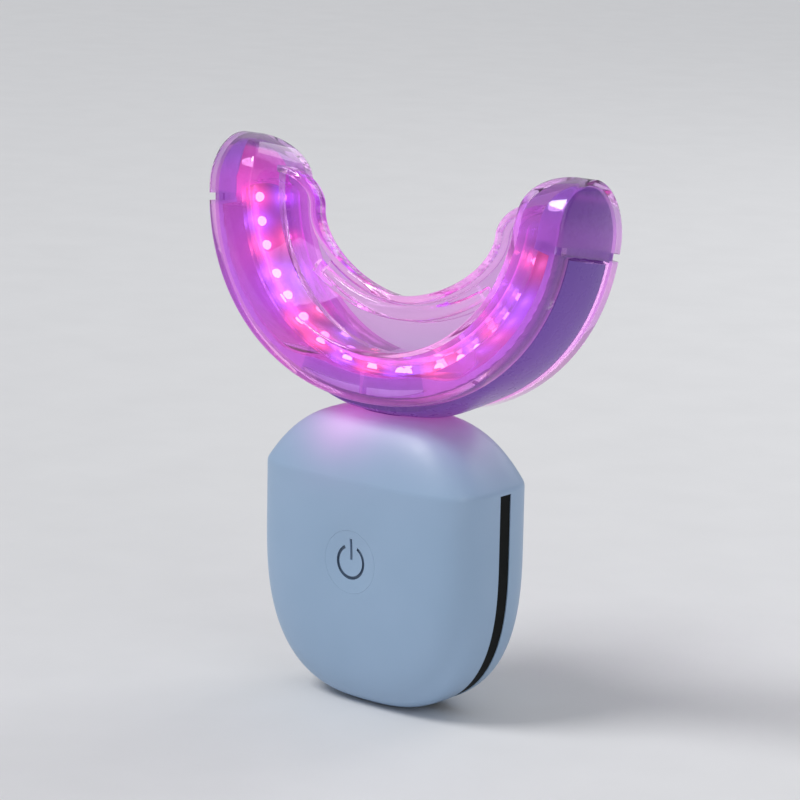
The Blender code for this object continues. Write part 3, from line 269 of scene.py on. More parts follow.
# Node helpers
class Finish:
    """One procedural material: a node tree with short ways to add the usual steps."""

    def __init__(self, name, **sockets):
        self.material = bpy.data.materials.new(name)
        self.material.use_nodes = True
        self.tree = self.material.node_tree
        self.shader = self.tree.nodes["Principled BSDF"]
        for key, value in sockets.items():
            socket = self.shader.inputs[key.replace("_", " ")]
            if isinstance(value, tuple) and len(value) == 3:
                value = (*value, 1.0)
            socket.default_value = value

    def node(self, kind, links=(), **values):
        made = self.tree.nodes.new(kind)
        for key, value in values.items():
            setattr(made, key, value)
        for socket, source in dict(links).items():
            target = next(s for s in made.inputs if s.name == socket and s.enabled)
            if isinstance(source, bpy.types.NodeSocket):
                self.tree.links.new(source, target)
            else:
                target.default_value = source
        return made

    def noise(self, scale, detail=3.0):
        place = self.node("ShaderNodeTexCoord").outputs["Object"]
        return self.node("ShaderNodeTexNoise", {"Vector": place, "Scale": scale, "Detail": detail,
                                                "Roughness": 0.55}).outputs["Fac"]

    def between(self, factor, low, high):
        """Maps a factor from 0..1 to low..high."""
        return self.node("ShaderNodeMapRange", {"Value": factor, "To Min": low,
                                                "To Max": high}).outputs["Result"]

    def mottled(self, low, high):
        """Slow change from place to place between two colours."""
        ramp = self.node("ShaderNodeValToRGB", {"Fac": self.noise(60.0, 2.0)})
        for element, position, colour in zip(ramp.color_ramp.elements, (0.3, 0.7), (low, high)):
            element.position = position
            element.color = (*colour, 1.0)
        return ramp.outputs["Color"]

    def attribute(self, name):
        return self.node("ShaderNodeAttribute", attribute_name=name).outputs["Color"]

    def link(self, source, socket):
        self.tree.links.new(source, self.shader.inputs[socket])
        return self

    def bump(self, height, distance, strength=1.0):
        made = self.node("ShaderNodeBump", {"Height": height, "Distance": distance, "Strength": strength})
        self.link(made.outputs["Normal"], "Normal")
        return self


def textured(made, roughness, grain):
    made.link(made.between(made.noise(500.0), roughness - 0.07, roughness + 0.07), "Roughness")
    return made.bump(made.noise(6000.0, 2.0), grain, 0.6)


def moulded(name, low, high, roughness, grain=0.00002, **sockets):
    """Moulded plastic, rubber or metal: slow colour change, uneven gloss and a fine grain."""
    made = Finish(name, **sockets)
    made.link(made.mottled(low, high), "Base Color")
    return textured(made, roughness, grain)


def carry_light(made, shade=0.03):
    """Links the painted colour and light stored at the points, which stand in for the lamps' light and
    shade, with a slow random change of tone over them.
    """
    mixed = made.node("ShaderNodeMix", {"Factor": 1.0, "A": made.attribute("tint"),
                                        "B": made.mottled((1 - shade,) * 3, (1.0,) * 3)},
                      data_type="RGBA", blend_type="MULTIPLY")
    made.link(mixed.outputs[2], "Base Color")
    made.link(made.attribute("glow"), "Emission Color")
    return made


def clear(name, roughness, ior, glow):
    """Clear plastic or silicone with some of the lamps' light painted on as colour and glow."""
    made = carry_light(Finish(name, IOR=ior, Transmission_Weight=1.0, Emission_Strength=glow,
                              Coat_Weight=1.0, Coat_IOR=1.5, Coat_Roughness=0.04))
    made.link(made.between(made.noise(300.0), roughness, roughness + 0.012), "Roughness")
    return made.bump(made.noise(160.0, 1.0), 0.00001, 0.3)


# Mesh helpers
def add_object(name, points, faces, finish=None, smooth_deg=35.0):
    mesh = bpy.data.meshes.new(name)
    mesh.from_pydata([tuple(map(float, p)) for p in points], [], faces)
    work = bmesh.new()
    work.from_mesh(mesh)
    bmesh.ops.recalc_face_normals(work, faces=work.faces)
    work.to_mesh(mesh)
    work.free()
    made = bpy.data.objects.new(name, mesh)
    bpy.context.scene.collection.objects.link(made)
    made["smooth_deg"] = smooth_deg
    if finish:
        mesh.materials.append(finish.material)
    return made


def combine(target, other, operation="DIFFERENCE"):
    step = target.modifiers.new(other.name, "BOOLEAN")
    step.operation = operation
    step.object = other
    return target


def settle(made, *nodes):
    """Applies the Booleans, deletes their cutters and puts the smoothed piece in its nodes' place."""
    bpy.context.view_layer.update()
    graph = bpy.context.evaluated_depsgraph_get()
    mesh = bpy.data.meshes.new_from_object(made.evaluated_get(graph))
    cutters = [step.object for step in made.modifiers]
    made.modifiers.clear()
    made.data = mesh
    for cutter in cutters:
        bpy.data.objects.remove(cutter, do_unlink=True)
    mesh.shade_smooth()
    mesh.set_sharp_from_angle(angle=radians(made["smooth_deg"]))
    del made["smooth_deg"]
    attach(made, "body")
    if nodes:
        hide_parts(*nodes)
    return made


def loft(rings, closed=False):
    """Points and faces through closed rings of equal count, with caps at the two ends."""
    count = len(rings[0])
    points = [p for ring in rings for p in ring]
    faces = [] if closed else [list(range(count))[::-1], [len(points) - count + i for i in range(count)]]
    for level in range(len(rings) - (0 if closed else 1)):
        for i in range(count):
            j = (i + 1) % count
            low, high = level * count, (level + 1) % len(rings) * count
            faces.append([low + i, low + j, high + j, high + i])
    return points, faces


def squared(value, power):
    """A sine or cosine bent so that a circle becomes a squarer oval of this power."""
    return copysign(abs(value) ** (2 / power), value)


def oval(half_x, half_y, power=2.0, steps=64):
    turn = [2 * pi * i / steps for i in range(steps)]
    return [(half_x * squared(cos(a), power), half_y * squared(sin(a), power)) for a in turn]


def rod(name, x, z, radius, front, back):
    rings = [[(x + px, y, z + pz) for px, pz in oval(radius, radius)] for y in (front, back)]
    return add_object(name, *loft(rings))


def block(name, low, high):
    corners = [(x, y, z) for x in (low[0], high[0]) for y in (low[1], high[1]) for z in (low[2], high[2])]
    return add_object(name, corners, [(0, 1, 3, 2), (4, 6, 7, 5), (0, 4, 5, 1), (2, 3, 7, 6), (0, 2, 6, 4),
                                      (1, 5, 7, 3)])


def rounded(low, high, radii, steps=4):
    """Outline of a rectangle in (inset, y) with its own radius at each corner."""
    (a0, b0), (a1, b1) = low, high
    outline = []
    corners = [(a0, b0, 1, 1, 180), (a1, b0, -1, 1, 270), (a1, b1, -1, -1, 0), (a0, b1, 1, -1, 90)]
    for (a, b, sa, sb, start), r in zip(corners, radii):
        r = min(r, (a1 - a0) / 2.1, (b1 - b0) / 2.1)
        for i in range(steps + 1):
            turn = radians(start + 90 * i / steps)
            outline.append((a + sa * r + r * cos(turn), b + sb * r + r * sin(turn)))
    return outline


def dense(outline, widest):
    """Outline with more points: as many on each side as leave no long steps in the widest one."""
    made = []
    for i, ((a0, b0), (c0, d0)) in enumerate(zip(outline, widest)):
        (a1, b1), (c1, d1) = outline[(i + 1) % len(outline)], widest[(i + 1) % len(widest)]
        steps = max(1, round(hypot(c1 - c0, d1 - d0) / (1.5 * GAP)))
        made += [(a0 + (a1 - a0) * k / steps, b0 + (b1 - b0) * k / steps) for k in range(steps)]
    return made


# Arch curve
def arch_table(steps=1500):
    """Lengths along half of the outer curve with their x and z, and the straight arm at the end."""
    turn = np.linspace(0, pi / 2, steps)
    x = ARCH_HALF_WIDTH * np.sin(turn) ** (2 / ARCH_POWER)
    z = ARCH_DEPTH - ARCH_DEPTH * np.abs(np.cos(turn)) ** (2 / ARCH_POWER)
    x, z = np.append(x, ARCH_HALF_WIDTH), np.append(z, ARCH_DEPTH + ARCH_ARM)
    return np.concatenate([[0], np.cumsum(np.hypot(np.diff(x), np.diff(z)))]), x, z


TABLE = arch_table()
ARCH_REACH = TABLE[0][-1]
NOTCH_ALONG = ARCH_REACH - NOTCH_BELOW_TIP
OPENING_END = NOTCH_ALONG - NOTCH_WIDTH / 2
PANEL_END = OPENING_END - GAP
BACKING_REACH = ARCH_REACH - RIM - GAP
WINDOW_REACH = ARCH_REACH - WINDOW_BELOW_TIP
PLATE_REACH = TABLE[0][-2] + PLATE_TIP_RISE - INNER_CENTRE_DROP


def arch_spot(along, inset):
    """(x, z) in the arch's own frame, for places along its outer curve and insets from it."""
    x = np.interp(np.abs(along), TABLE[0], TABLE[1])
    z = np.interp(np.abs(along), TABLE[0], TABLE[2])
    tx = (np.maximum(ARCH_DEPTH - z, 0) / ARCH_DEPTH) ** (ARCH_POWER - 1) / ARCH_DEPTH
    tz = (x / ARCH_HALF_WIDTH) ** (ARCH_POWER - 1) / ARCH_HALF_WIDTH
    size = np.hypot(tx, tz)
    return (x - tz / size * inset) * np.where(along < 0, -1, 1), z + tx / size * inset


def arch_place(along, inset, y):
    """World points for places along the arch, insets from its outer curve and depths."""
    along, inset, y = np.broadcast_arrays(np.asarray(along, float), inset, y)
    x, z = arch_spot(along, inset)
    return lean(x, y, z)


def lean(x, y, z):
    """World points from the arch's own frame, with its rake and its lean."""
    x, y, z = np.broadcast_arrays(x, y, z)
    z = z - y * ARCH_RAKE
    c, s = cos(ARCH_LEAN), sin(ARCH_LEAN)
    return np.stack([x, y * c + z * s - ARCH_SET_FORWARD, z * c - y * s + PIVOT_Z], -1)


def arch_coords(points, samples=700, batch=4000):
    """(along, inset, y) of world points, from the nearest of many places on the outer curve."""
    c, s = cos(ARCH_LEAN), sin(ARCH_LEAN)
    py, pz = points[:, 1] + ARCH_SET_FORWARD, points[:, 2] - PIVOT_Z
    y = py * c - pz * s
    z = py * s + pz * c + y * ARCH_RAKE
    curve = np.linspace(0, ARCH_REACH, samples)
    curve_x, curve_z = np.interp(curve, TABLE[0], TABLE[1]), np.interp(curve, TABLE[0], TABLE[2])
    along, inset = np.zeros(len(points)), np.zeros(len(points))
    for start in range(0, len(points), batch):
        part = slice(start, start + batch)
        distance = np.hypot(np.abs(points[part, 0])[:, None] - curve_x, z[part, None] - curve_z)
        along[part] = curve[distance.argmin(1)] * np.sign(points[part, 0])
        inset[part] = distance.min(1)
    return along, inset, y


def swell(along):
    """How much further in the inner layers lie, most of all in the arms."""
    return ARM_SWELL * np.sin(pi * np.abs(along) / ARCH_REACH / ARM_SWELL_SHARE) ** 2


def fade(along, flat, length):
    """1 up to a place on either side of the middle, then softly down to 0 over a length."""
    past = np.clip((np.abs(along) - flat) / length, 0, 1)
    return 1 - past ** 2 * (3 - 2 * past)


def tip_share(along, reach):
    """Share of the full thickness that is left in the rounded tip."""
    into = np.maximum(np.abs(along) - (reach - TIP_ROUND), 0) / TIP_ROUND
    return np.sqrt(np.maximum(1 - into ** 2, 0))


def round_tip(along, inner, tip, reach):
    return tip + (inner + swell(along) - tip) * tip_share(along, reach)


def end_share(along, reach, end_length):
    """Share of the full height that is left in the rounded end."""
    past = np.clip((np.abs(along) - reach + end_length) / end_length, 0, 1)
    return max(sqrt(1 - past ** 2), END_FACE_SHARE)


def stations(reach, end_length, count=120, ends=14, extra=()):
    """Places along the arch from end to end, closer together in the rounded ends."""
    flat = reach - end_length
    last_turn = radians(87)
    half = list(np.linspace(0, flat, count // 2))
    half += [flat + end_length * sin(last_turn * i / ends) for i in range(1, ends + 1)]
    half = sorted(set(half + list(extra)))
    return [-s for s in reversed(half[1:])] + half


def sweep(name, places, section, finish=None, smooth_deg=35.0):
    """A layer of the arch: section(along) gives its closed outline as (inset, y) pairs."""
    rings = [arch_place(s, *np.array(section(s)).T) for s in places]
    return add_object(name, *loft(rings), finish, smooth_deg)


# Handle form
def handle_depth(x, z, inset=0.0, halvings=40):
    """How far the handle's form reaches from its middle plane at a place below the crease."""
    half_width, half_depth = HANDLE_WIDTH / 2 - inset, HANDLE_THICKNESS / 2 - inset
    low, high = 0.0, 1.0
    for _ in range(halvings):
        share = (low + high) / 2
        px, pz = abs(x) / max(share, GAP), (CREASE_Z - z) / max(share, GAP)
        past = max(pz - STRAIGHT_SIDE, 0) / (ROUND_BOTTOM - inset)
        outside = px > half_width or (px / half_width) ** OUTLINE_POWER + past ** OUTLINE_POWER > 1
        low, high = (share, high) if outside else (low, share)
    return half_depth * (1 - high ** SECTION_POWER) ** (1 / SECTION_POWER)


def handle_outline(half_width, bottom, crease, steps):
    """The handle seen from the front, from one end of its crease round the foot to the other."""
    outline = [(half_width, -crease)]
    for i in range(steps + 1):
        a = pi * i / steps
        outline.append((half_width * squared(cos(a), OUTLINE_POWER),
                        -STRAIGHT_SIDE - bottom * squared(sin(a), OUTLINE_POWER)))
    return outline + [(-half_width, -crease)]


def dome_levels(rise, crease, steps):
    """Rings of the dome as shares of the crease's outline and heights over it."""
    def height(share):
        return rise * (1 - share ** DOME_POWER)

    shares = [cos(pi / 2 * i / steps) for i in range(1, steps)]
    if not crease:
        return [(share, height(share)) for share in shares]
    met = 1 - crease / (4 * DOME_HEIGHT)
    least_step = 0.002
    bend = [((1 - t) ** 2 + 2 * t * (1 - t) + t * t * met, -(1 - t) ** 2 * crease + t * t * height(met))
            for t in (0.2, 0.4, 0.6, 0.8, 1.0)]
    return bend + [(share, height(share)) for share in shares if share < met - least_step]


def handle_solid(name, inset, steps, finish=None, crease=0.0):
    """The handle's form at an inset from the skin, with its crease rounded over a length."""
    outline_steps, section_steps, dome_steps = steps
    half_width, half_depth = HANDLE_WIDTH / 2 - inset, HANDLE_THICKNESS / 2 - inset
    outline = handle_outline(half_width, ROUND_BOTTOM - inset, crease, outline_steps)
    count = len(outline)
    points, faces = [], []
    for i in range(-section_steps + 1, section_steps):
        v = pi / 2 * i / section_steps
        share, depth = squared(cos(v), SECTION_POWER), half_depth * squared(sin(v), SECTION_POWER)
        points += [(x * share, depth, CREASE_Z + (z if k in (0, count - 1) else z * share))
                   for k, (x, z) in enumerate(outline)]
    rings = len(points) // count
    for a in (r * count + i for r in range(rings - 1) for i in range(count - 1)):
        faces.append([a, a + 1, a + count + 1, a + count])
    front, back = len(points), len(points) + 1
    points += [(0, -half_depth, CREASE_Z - crease), (0, half_depth, CREASE_Z - crease)]
    last = (rings - 1) * count
    for i in range(count - 1):
        faces += [[front, i + 1, i], [back, last + i, last + i + 1]]
    ring = [front] + [r * count for r in range(rings)] + [back]
    ring += [r * count + count - 1 for r in reversed(range(rings))]
    edge = [points[i] for i in ring]
    rise = DOME_HEIGHT - inset
    for share, up in dome_levels(rise, crease, dome_steps):
        start = len(points)
        points += [(p[0] * share, p[1] * share, CREASE_Z + up) for p in edge]
        inner = list(range(start, start + len(edge)))
        for i in range(len(edge)):
            j = (i + 1) % len(edge)
            faces.append([ring[i], ring[j], inner[j], inner[i]])
        ring = inner
    points.append((0, 0, CREASE_Z + rise))
    faces += [[ring[i], ring[(i + 1) % len(ring)], len(points) - 1] for i in range(len(ring))]
    return add_object(name, points, faces, finish, 24.0)


def skin_light(points):
    """Painted light of the lamps on the dome, with a painted pink pool of their light in front of the
    arch's foot.
    """
    light_pool = np.exp(-((points - np.array(LIGHT_POOL_PLACE)) ** 2).sum(1) / LIGHT_POOL_REACH ** 2)
    return {"glow": lamp_light(points, *SKIN_GLOW) + light_pool[:, None] * np.array(LIGHT_POOL_COLOUR)}


def front_depth(x, z):
    """How far forward the front lies, with the soft dimple round the button."""
    past = min(hypot(x, z - BUTTON_Z - DIMPLE_RISE) / DIMPLE_RADIUS, 1)
    return handle_depth(x, z) - DIMPLE_DEPTH * (1 - past ** 2 * (3 - 2 * past))


def press_dimple(skin):
    """Sinks the front round the button, on a finer mesh there."""
    reach = DIMPLE_RADIUS + BUTTON_RADIUS / 2

    def near(place):
        return place.y < 0 and hypot(place.x, place.z - BUTTON_Z - DIMPLE_RISE) < reach

    work = bmesh.new()
    work.from_mesh(skin.data)
    edges = [e for e in work.edges if near(e.verts[0].co) or near(e.verts[1].co)]
    bmesh.ops.subdivide_edges(work, edges=edges, cuts=3, use_grid_fill=True)
    for vertex in work.verts:
        if near(vertex.co):
            vertex.co.y = -front_depth(vertex.co.x, vertex.co.z)
    work.to_mesh(skin.data)
    work.free()


def button_face(x, z):
    """Where the button's own face lies, for a place counted from its middle."""
    return -front_depth(x, BUTTON_Z + z)


def button_ring(radius, y):
    """A ring round the button's axis. Its y is a number or a function of the place."""
    return [(px, y(px, pz) if callable(y) else y, BUTTON_Z + pz)
            for px, pz in oval(radius, radius, steps=BUTTON_STEPS)]


def stem_solid(name, low, high, clearance=0.0):
    """The arch's stem, between two heights of the arch's own frame."""
    half_x, half_y = (half + clearance for half in STEM_HALF_SIZES)
    rings = [[lean(x, y, z) for x, y in oval(half_x, half_y, STEM_POWER)] for z in (low, high)]
    return add_object(name, *loft(rings))


def make_slit_band(finish):
    """Black band that closes the slit just below the surface."""
    edge = GAP / 5
    band = handle_solid("slit_band", 2 * edge, BAND_STEPS, finish)
    half_slit = SLIT_WIDTH / 2 - edge
    top = CREASE_Z - SLIT_BELOW_CREASE - edge
    inside = block("band_cut", (-HANDLE_WIDTH, SLIT_Y - half_slit, -OVERRUN),
                   (HANDLE_WIDTH, SLIT_Y + half_slit, top))
    combine(band, inside, "INTERSECT")
    combine(band, handle_solid("band_hollow", SKIN_WALL / 2, BAND_STEPS))
    settle(band)


def make_skin(finish):
    skin = handle_solid("skin", 0.0, SKIN_STEPS, finish, crease=CREASE_ROUNDING)
    press_dimple(skin)
    combine(skin, handle_solid("skin_hollow", SKIN_WALL, HOLLOW_STEPS))
    combine(skin, block("slit", (-HANDLE_WIDTH, SLIT_Y - SLIT_WIDTH / 2, -OVERRUN),
                        (HANDLE_WIDTH, SLIT_Y + SLIT_WIDTH / 2, CREASE_Z - SLIT_BELOW_CREASE)))
    combine(skin, stem_solid("stem_hole", -STEM_LENGTH - OVERRUN, OVERRUN, GAP))
    combine(skin, rod("button_hole", 0, BUTTON_Z, BUTTON_RADIUS + GAP, -HANDLE_THICKNESS, 0))
    face = handle_depth(0, SEAT_Z) - SEAT_DEPTH + GAP
    seat = [[(x, y, SEAT_Z + z) for x, z in oval(SEAT_WIDTH / 2, SEAT_HEIGHT / 2, SEAT_POWER, 96)]
            for y in (face, HANDLE_THICKNESS)]
    combine(skin, add_object("seat", *loft(seat)))
    for x in (-CONTACT_X, CONTACT_X):
        combine(skin, rod("contact_hole", x, SEAT_Z, CONTACT_RADIUS + GAP, 0, HANDLE_THICKNESS))
    settle(skin, "handle_skin")
    paint(skin, skin_light)


def make_button_seam(finish):
    """Thin ring that narrows the seam round the button."""
    inner, outer = BUTTON_RADIUS + SEAM_INSIDE, BUTTON_RADIUS + GAP

    def back(x, z):
        return button_face(x, z) + SKIN_WALL / 2

    rings = [button_ring(inner, button_face), button_ring(outer, button_face), button_ring(outer, back),
             button_ring(inner, back)]
    seam = add_object("button_seam", *loft(rings, closed=True), finish)
    settle(seam)
    paint(seam, skin_light)


def press_pad(finish, face_rings=17):
    """Pad with a face like the skin's, a flange inside the skin and a stem to the switch."""
    low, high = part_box("power_button")
    flange = (high.x - low.x) / 2
    seat = GAP - handle_depth(0, BUTTON_Z - flange, SKIN_WALL)
    back = seat + FLANGE_THICKNESS
    rings = [button_ring(BUTTON_RADIUS * (i + 1) / face_rings, button_face) for i in range(face_rings)]
    rings += [button_ring(r, y) for r, y in (
        (BUTTON_RADIUS, seat), (flange, seat), (flange, back), (PAD_STEM_RADIUS, back),
        (PAD_STEM_RADIUS, high.y))]
    points, faces = loft(rings)
    middle = len(points)
    points.append((0, button_face(0, 0), BUTTON_Z))
    faces[0] = [middle, 1, 0]
    faces += [[middle, (i + 1) % BUTTON_STEPS, i] for i in range(1, BUTTON_STEPS)]
    return add_object("press_pad", points, faces, finish, 30.0)


def cut_symbol(pad, sink, steps=72):
    """Cuts an open ring and a bar into the pad, down to one depth."""
    half = SYMBOL_STROKE / 2
    outline = [(SYMBOL_RADIUS - half, -HANDLE_THICKNESS), (SYMBOL_RADIUS + half, -HANDLE_THICKNESS),
               (SYMBOL_RADIUS + half, sink), (SYMBOL_RADIUS - half, sink)]
    start = radians(90 + SYMBOL_OPENING_DEG / 2)
    whole_turn = radians(360 - SYMBOL_OPENING_DEG)
    rings = []
    for i in range(steps + 1):
        a = start + whole_turn * i / steps
        rings.append([(r * cos(a), y, BUTTON_Z + r * sin(a)) for r, y in outline])
    combine(pad, add_object("ring", *loft(rings)))
    combine(pad, block("bar", (-half, -HANDLE_THICKNESS, BUTTON_Z + SYMBOL_BAR_FOOT),
                       (half, sink, BUTTON_Z + SYMBOL_BAR_TOP)))


def make_button(finish, ink):
    """Press pad with the power symbol cut into it and inked."""
    pad = press_pad(finish)
    pad.data.materials.append(ink.material)
    sink = button_face(0, 0) + SYMBOL_DEPTH
    cut_symbol(pad, sink)
    settle(pad)
    for polygon in pad.data.polygons:
        c = polygon.center
        in_symbol = sink + GAP / 10 > c.y > button_face(c.x, c.z - BUTTON_Z) + SYMBOL_DEPTH / 4
        if in_symbol and hypot(c.x, c.z - BUTTON_Z) < INK_RADIUS:
            polygon.material_index = 1
    paint(pad, skin_light)
    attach(pad, "button")
    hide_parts("power_button")


# Lamps and the light that they give to what is round them
def lamp_places():
    found = []
    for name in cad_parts:
        if name.startswith(("lamp_red", "lamp_blue")):
            low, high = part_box(name)
            found.append((name, name.split("_")[1], np.array((low + high) / 2)))
    return sorted(found, key=lambda item: item[0])


LAMPS = lamp_places()


def lamp_light(points, reach, strength=1.0):
    """Light of all lamps at each point, which falls off with the distance."""
    total = np.zeros((len(points), 3))
    for _, colour, centre in LAMPS:
        falloff = np.exp(-((points - centre) ** 2).sum(1) / reach ** 2)
        total += falloff[:, None] * np.array(GLOW[colour])
    return total * strength


def lamp_coords(centre):
    return tuple(float(v[0]) for v in arch_coords(centre[None]))


def halo(along, inset, y, flatten):
    """Light of the lamps in places along the arch, with less weight on y."""
    total = np.zeros((len(along), 3))
    for _, colour, centre in LAMPS:
        lamp_along, lamp_inset, lamp_y = lamp_coords(centre)
        square = (along - lamp_along) ** 2 + (inset - lamp_inset) ** 2 + ((y - lamp_y) * flatten) ** 2
        total += np.exp(-square / HALO_REACH ** 2)[:, None] * np.array(GLOW[colour])
    return total


def hue(points, share):
    """White with a share of the colour that the light near each point has."""
    light = lamp_light(points, HUE_REACH) + DARKEST_LIGHT
    return 1 - share + share * light / light.max(1)[:, None]


def blend(share, low, high):
    """Mixes two colours, or two sets of them, by a share for each point."""
    share = np.clip(share, 0, 1)[:, None]
    return np.asarray(low) * (1 - share) + np.asarray(high) * share


def paint(made, shade):
    """Stores the painted lamp light and, where it has one, a colour painted for the lamps' light and
    shade, at each point of a piece.
    """
    mesh = made.data
    count = len(mesh.vertices)
    points = np.zeros(count * 3)
    mesh.vertices.foreach_get("co", points)
    for name, values in shade(points.reshape(-1, 3)).items():
        layer = mesh.attributes.new(name, "FLOAT_COLOR", "POINT")
        values = np.hstack([np.broadcast_to(values, (count, 3)), np.ones((count, 1))])
        layer.data.foreach_set("color", values.astype(np.float32).ravel())


def lamp_turn(along, y):
    """Turn that sets a lamp's own X along the arch and its Z away from the strip."""
    tangent = Vector(arch_place(along + GAP, 0, y) - arch_place(along - GAP, 0, y)).normalized()
    across = Vector(arch_place(along, 0, y + GAP) - arch_place(along, 0, y - GAP)).normalized()
    up = tangent.cross(across).normalized()
    if up.dot(Vector(arch_place(along, LAMP_HEIGHT, y) - arch_place(along, 0, y))) < 0:
        up.negate()
    return Matrix((tangent, up.cross(tangent).normalized(), up)).transposed().to_4x4()


def package_shape():
    rings = []
    for z, shrink in ((0.0, 0.0), (PACKAGE_HEIGHT - LAMP_CHAMFER, 0.0), (PACKAGE_HEIGHT, LAMP_CHAMFER)):
        far = LAMP_SIZE / 2 - shrink
        near = far - LAMP_CHAMFER
        half = [(far, near), (near, far), (-near, far), (-far, near)]
        rings.append([(x, y, z) for x, y in half + [(-x, -y) for x, y in half]])
    return loft(rings)


def lens_shape(steps=20):
    rings = []
    for turn in map(radians, LENS_RING_DEGREES):
        r, z = LENS_RADIUS * cos(turn), PACKAGE_HEIGHT + LENS_HEIGHT * sin(turn)
        rings.append([(x, y, z) for x, y in oval(r, r, steps=steps)])
    return loft(rings)


def make_lamps(packages, lenses):
    """Each lamp: a chamfered square package with a domed lens, set on the strip along its own node."""
    package, package_faces = package_shape()
    lens, lens_faces = lens_shape()
    faces = package_faces + [[len(package) + i for i in face] for face in lens_faces]
    for name, colour, centre in LAMPS:
        along, _, y = lamp_coords(centre)
        origin = Vector(arch_place(along, LAMP_OUTER + swell(along), y))
        place = Matrix.Translation(origin) @ lamp_turn(along, y)
        lamp = add_object(name.replace("lamp_", "lit_"), [place @ Vector(p) for p in package + lens],
                          faces, packages[colour], 40.0)
        lamp.data.materials.append(lenses[colour].material)
        for polygon in lamp.data.polygons:
            polygon.material_index = 0 if polygon.index < len(package_faces) else 1
        settle(lamp, name)


# Layers of the mouthpiece
def backing_inner(along):
    """Inset of the white arch's inner side, which thins into a panel in the arms."""
    in_panel = abs(along) < PANEL_END - GAP / 2
    share = fade(along, BACKING_MIDDLE, BACKING_THINNING) if in_panel else 1
    return BACKING_OUTER + BACKING_PANEL + (BACKING_THICKNESS - BACKING_PANEL + swell(along)) * share


def backing_section(along):
    """White arch: crowned between the lips, with rounded edges at both sides."""
    share = end_share(along, BACKING_REACH, BACKING_END)
    y = BACKING_HALF * share
    panel = min(LIP_EDGE - GAP, y * PANEL_SHARE)
    crown = BACKING_OUTER + BACKING_CROWN + FOOT_CROWN * fade(along, FOOT_LENGTH, FOOT_FADE)
    crown = crown if abs(along) < PANEL_END - GAP / 2 else 0.0
    tip = BACKING_OUTER + TIP_CAP
    inner = tip + (backing_inner(along) - tip) * tip_share(along, BACKING_REACH)
    edge = min(BACKING_EDGE * share, (inner - BACKING_OUTER) / 3)
    upper = [(BACKING_OUTER - crown * (1 - CROWN_FALL_SHARE * t ** CROWN_POWER), panel * t)
             for t in np.linspace(0, 1, 10)]
    upper.append((BACKING_OUTER, panel + GAP / 3))
    for centre, turns in ((BACKING_OUTER + edge, (180, 150, 120, 90)), (inner - edge, (90, 60, 30, 0))):
        upper += [(centre + edge * cos(turn), y - edge + edge * sin(turn))
                  for turn in map(radians, turns)]
    return upper + [(inset, -side) for inset, side in reversed(upper[1:])]


def arch_shade(points):
    """Painted lamp light and shade on the white arch: a violet face in shade, pale lit sides, and an inner
    side that is red with the lamps' glow in the lobes.
    """
    along, inset, y = arch_coords(points)
    shares = np.array([end_share(s, BACKING_REACH, BACKING_END) for s in along])
    side = np.abs(y) > BACKING_HALF * shares - BACKING_EDGE / 2
    depth = TIP_CAP / 2 + (BACKING_PANEL - TIP_CAP) * tip_share(along, BACKING_REACH)
    inside = (inset > BACKING_OUTER + depth) & ~side
    lobe = np.clip((np.abs(along) - PANEL_END) / LOBE_BLEND, 0, 1)
    lobe = lobe * (np.abs(along) < BACKING_REACH - LOBE_CAP)
    # Painted shade on the face, painted lamp light on the sides and a red painted glow inside the lobes,
    # in place of the arch's white
    tint = blend(np.abs(along) > PANEL_END, FACE_PAINTED_SHADE, LOBE_FACE_PAINTED_LIGHT)
    tint = np.where(side[:, None], SIDE_PAINTED_LIGHT, tint)
    tint = blend(inside * (1 - lobe), tint, INSIDE_PAINTED_SHADE)
    tint = blend(inside * lobe, tint, LOBE_INSIDE_PAINTED_GLOW)
    glow = lamp_light(points, *ARCH_GLOW) + lamp_light(points, *ARCH_WASH) * np.array(WASH_COLOUR)
    glow *= np.where(side | inside, 1, FACE_GLOW_SHARE)[:, None]
    glow += lamp_light(points, *INSIDE_GLOW) * (inside * (1 + LOBE_GAIN * lobe))[:, None]
    return {"tint": tint, "glow": glow}


def make_backing(finish):
    places = stations(BACKING_REACH, BACKING_END, extra=(PANEL_END, PANEL_END - GAP))
    backing = sweep("white_arch", places, backing_section, finish, 32.0)
    combine(backing, handle_solid("dome_clearance", -GAP, CLEARANCE_STEPS))
    combine(backing, stem_solid("stem", -STEM_LENGTH, BACKING_OUTER), "UNION")
    settle(backing, "arch_housing")
    paint(backing, arch_shade)


def carrier_section(s):
    return rounded((backing_inner(s) + GAP, -BACKING_HALF),
                   (STRIP_OUTER - GAP + swell(s), BACKING_HALF), (BACKING_EDGE,) * 4, 3)


def make_carriers(finish):
    """Clear spacers in the arms, between the white arch's panel and the strip."""
    for side, word in ((-1, "left"), (1, "right")):
        places = [side * s for s in np.linspace(CARRIER_START, PANEL_END - 2 * GAP, 40)]
        carrier = sweep(f"clear_carrier_{word}", places, carrier_section, finish)
        settle(carrier, f"strip_carrier_{word}")
        # Pink tint and glow painted on the clear carriers for the lamps' light in them
        paint(carrier, lambda points: {"tint": CARRIER_LIT_PINK, "glow": lamp_light(points, *CARRIER_GLOW)})


def strip_shade(points):
    """Painted glow round each lamp, a faint painted wash of light between them and a painted hot spot at
    each.
    """
    glow = lamp_light(points, *STRIP_GLOW) + lamp_light(points, *STRIP_WASH)
    hot_spots = lamp_light(points, HOT_SPOT_REACH).max(1)[:, None]
    return {"glow": glow + hot_spots * np.array(HOT_SPOT_COLOUR)}


def make_strip(finish):
    reach = WINDOW_REACH - WINDOW_SKIRT - GAP
    end = WINDOW_END - WINDOW_SKIRT

    def section(s):
        y = STRIP_HALF_HEIGHT * end_share(s, reach, end)
        across = np.linspace(-y, y, 25)
        outer = [(STRIP_OUTER + swell(s), v) for v in across]
        return outer + [(STRIP_INNER + swell(s), v) for v in reversed(across)]

    strip = settle(sweep("lit_strip", stations(reach, end, 240), section, finish), "lamp_strip")
    paint(strip, strip_shade)


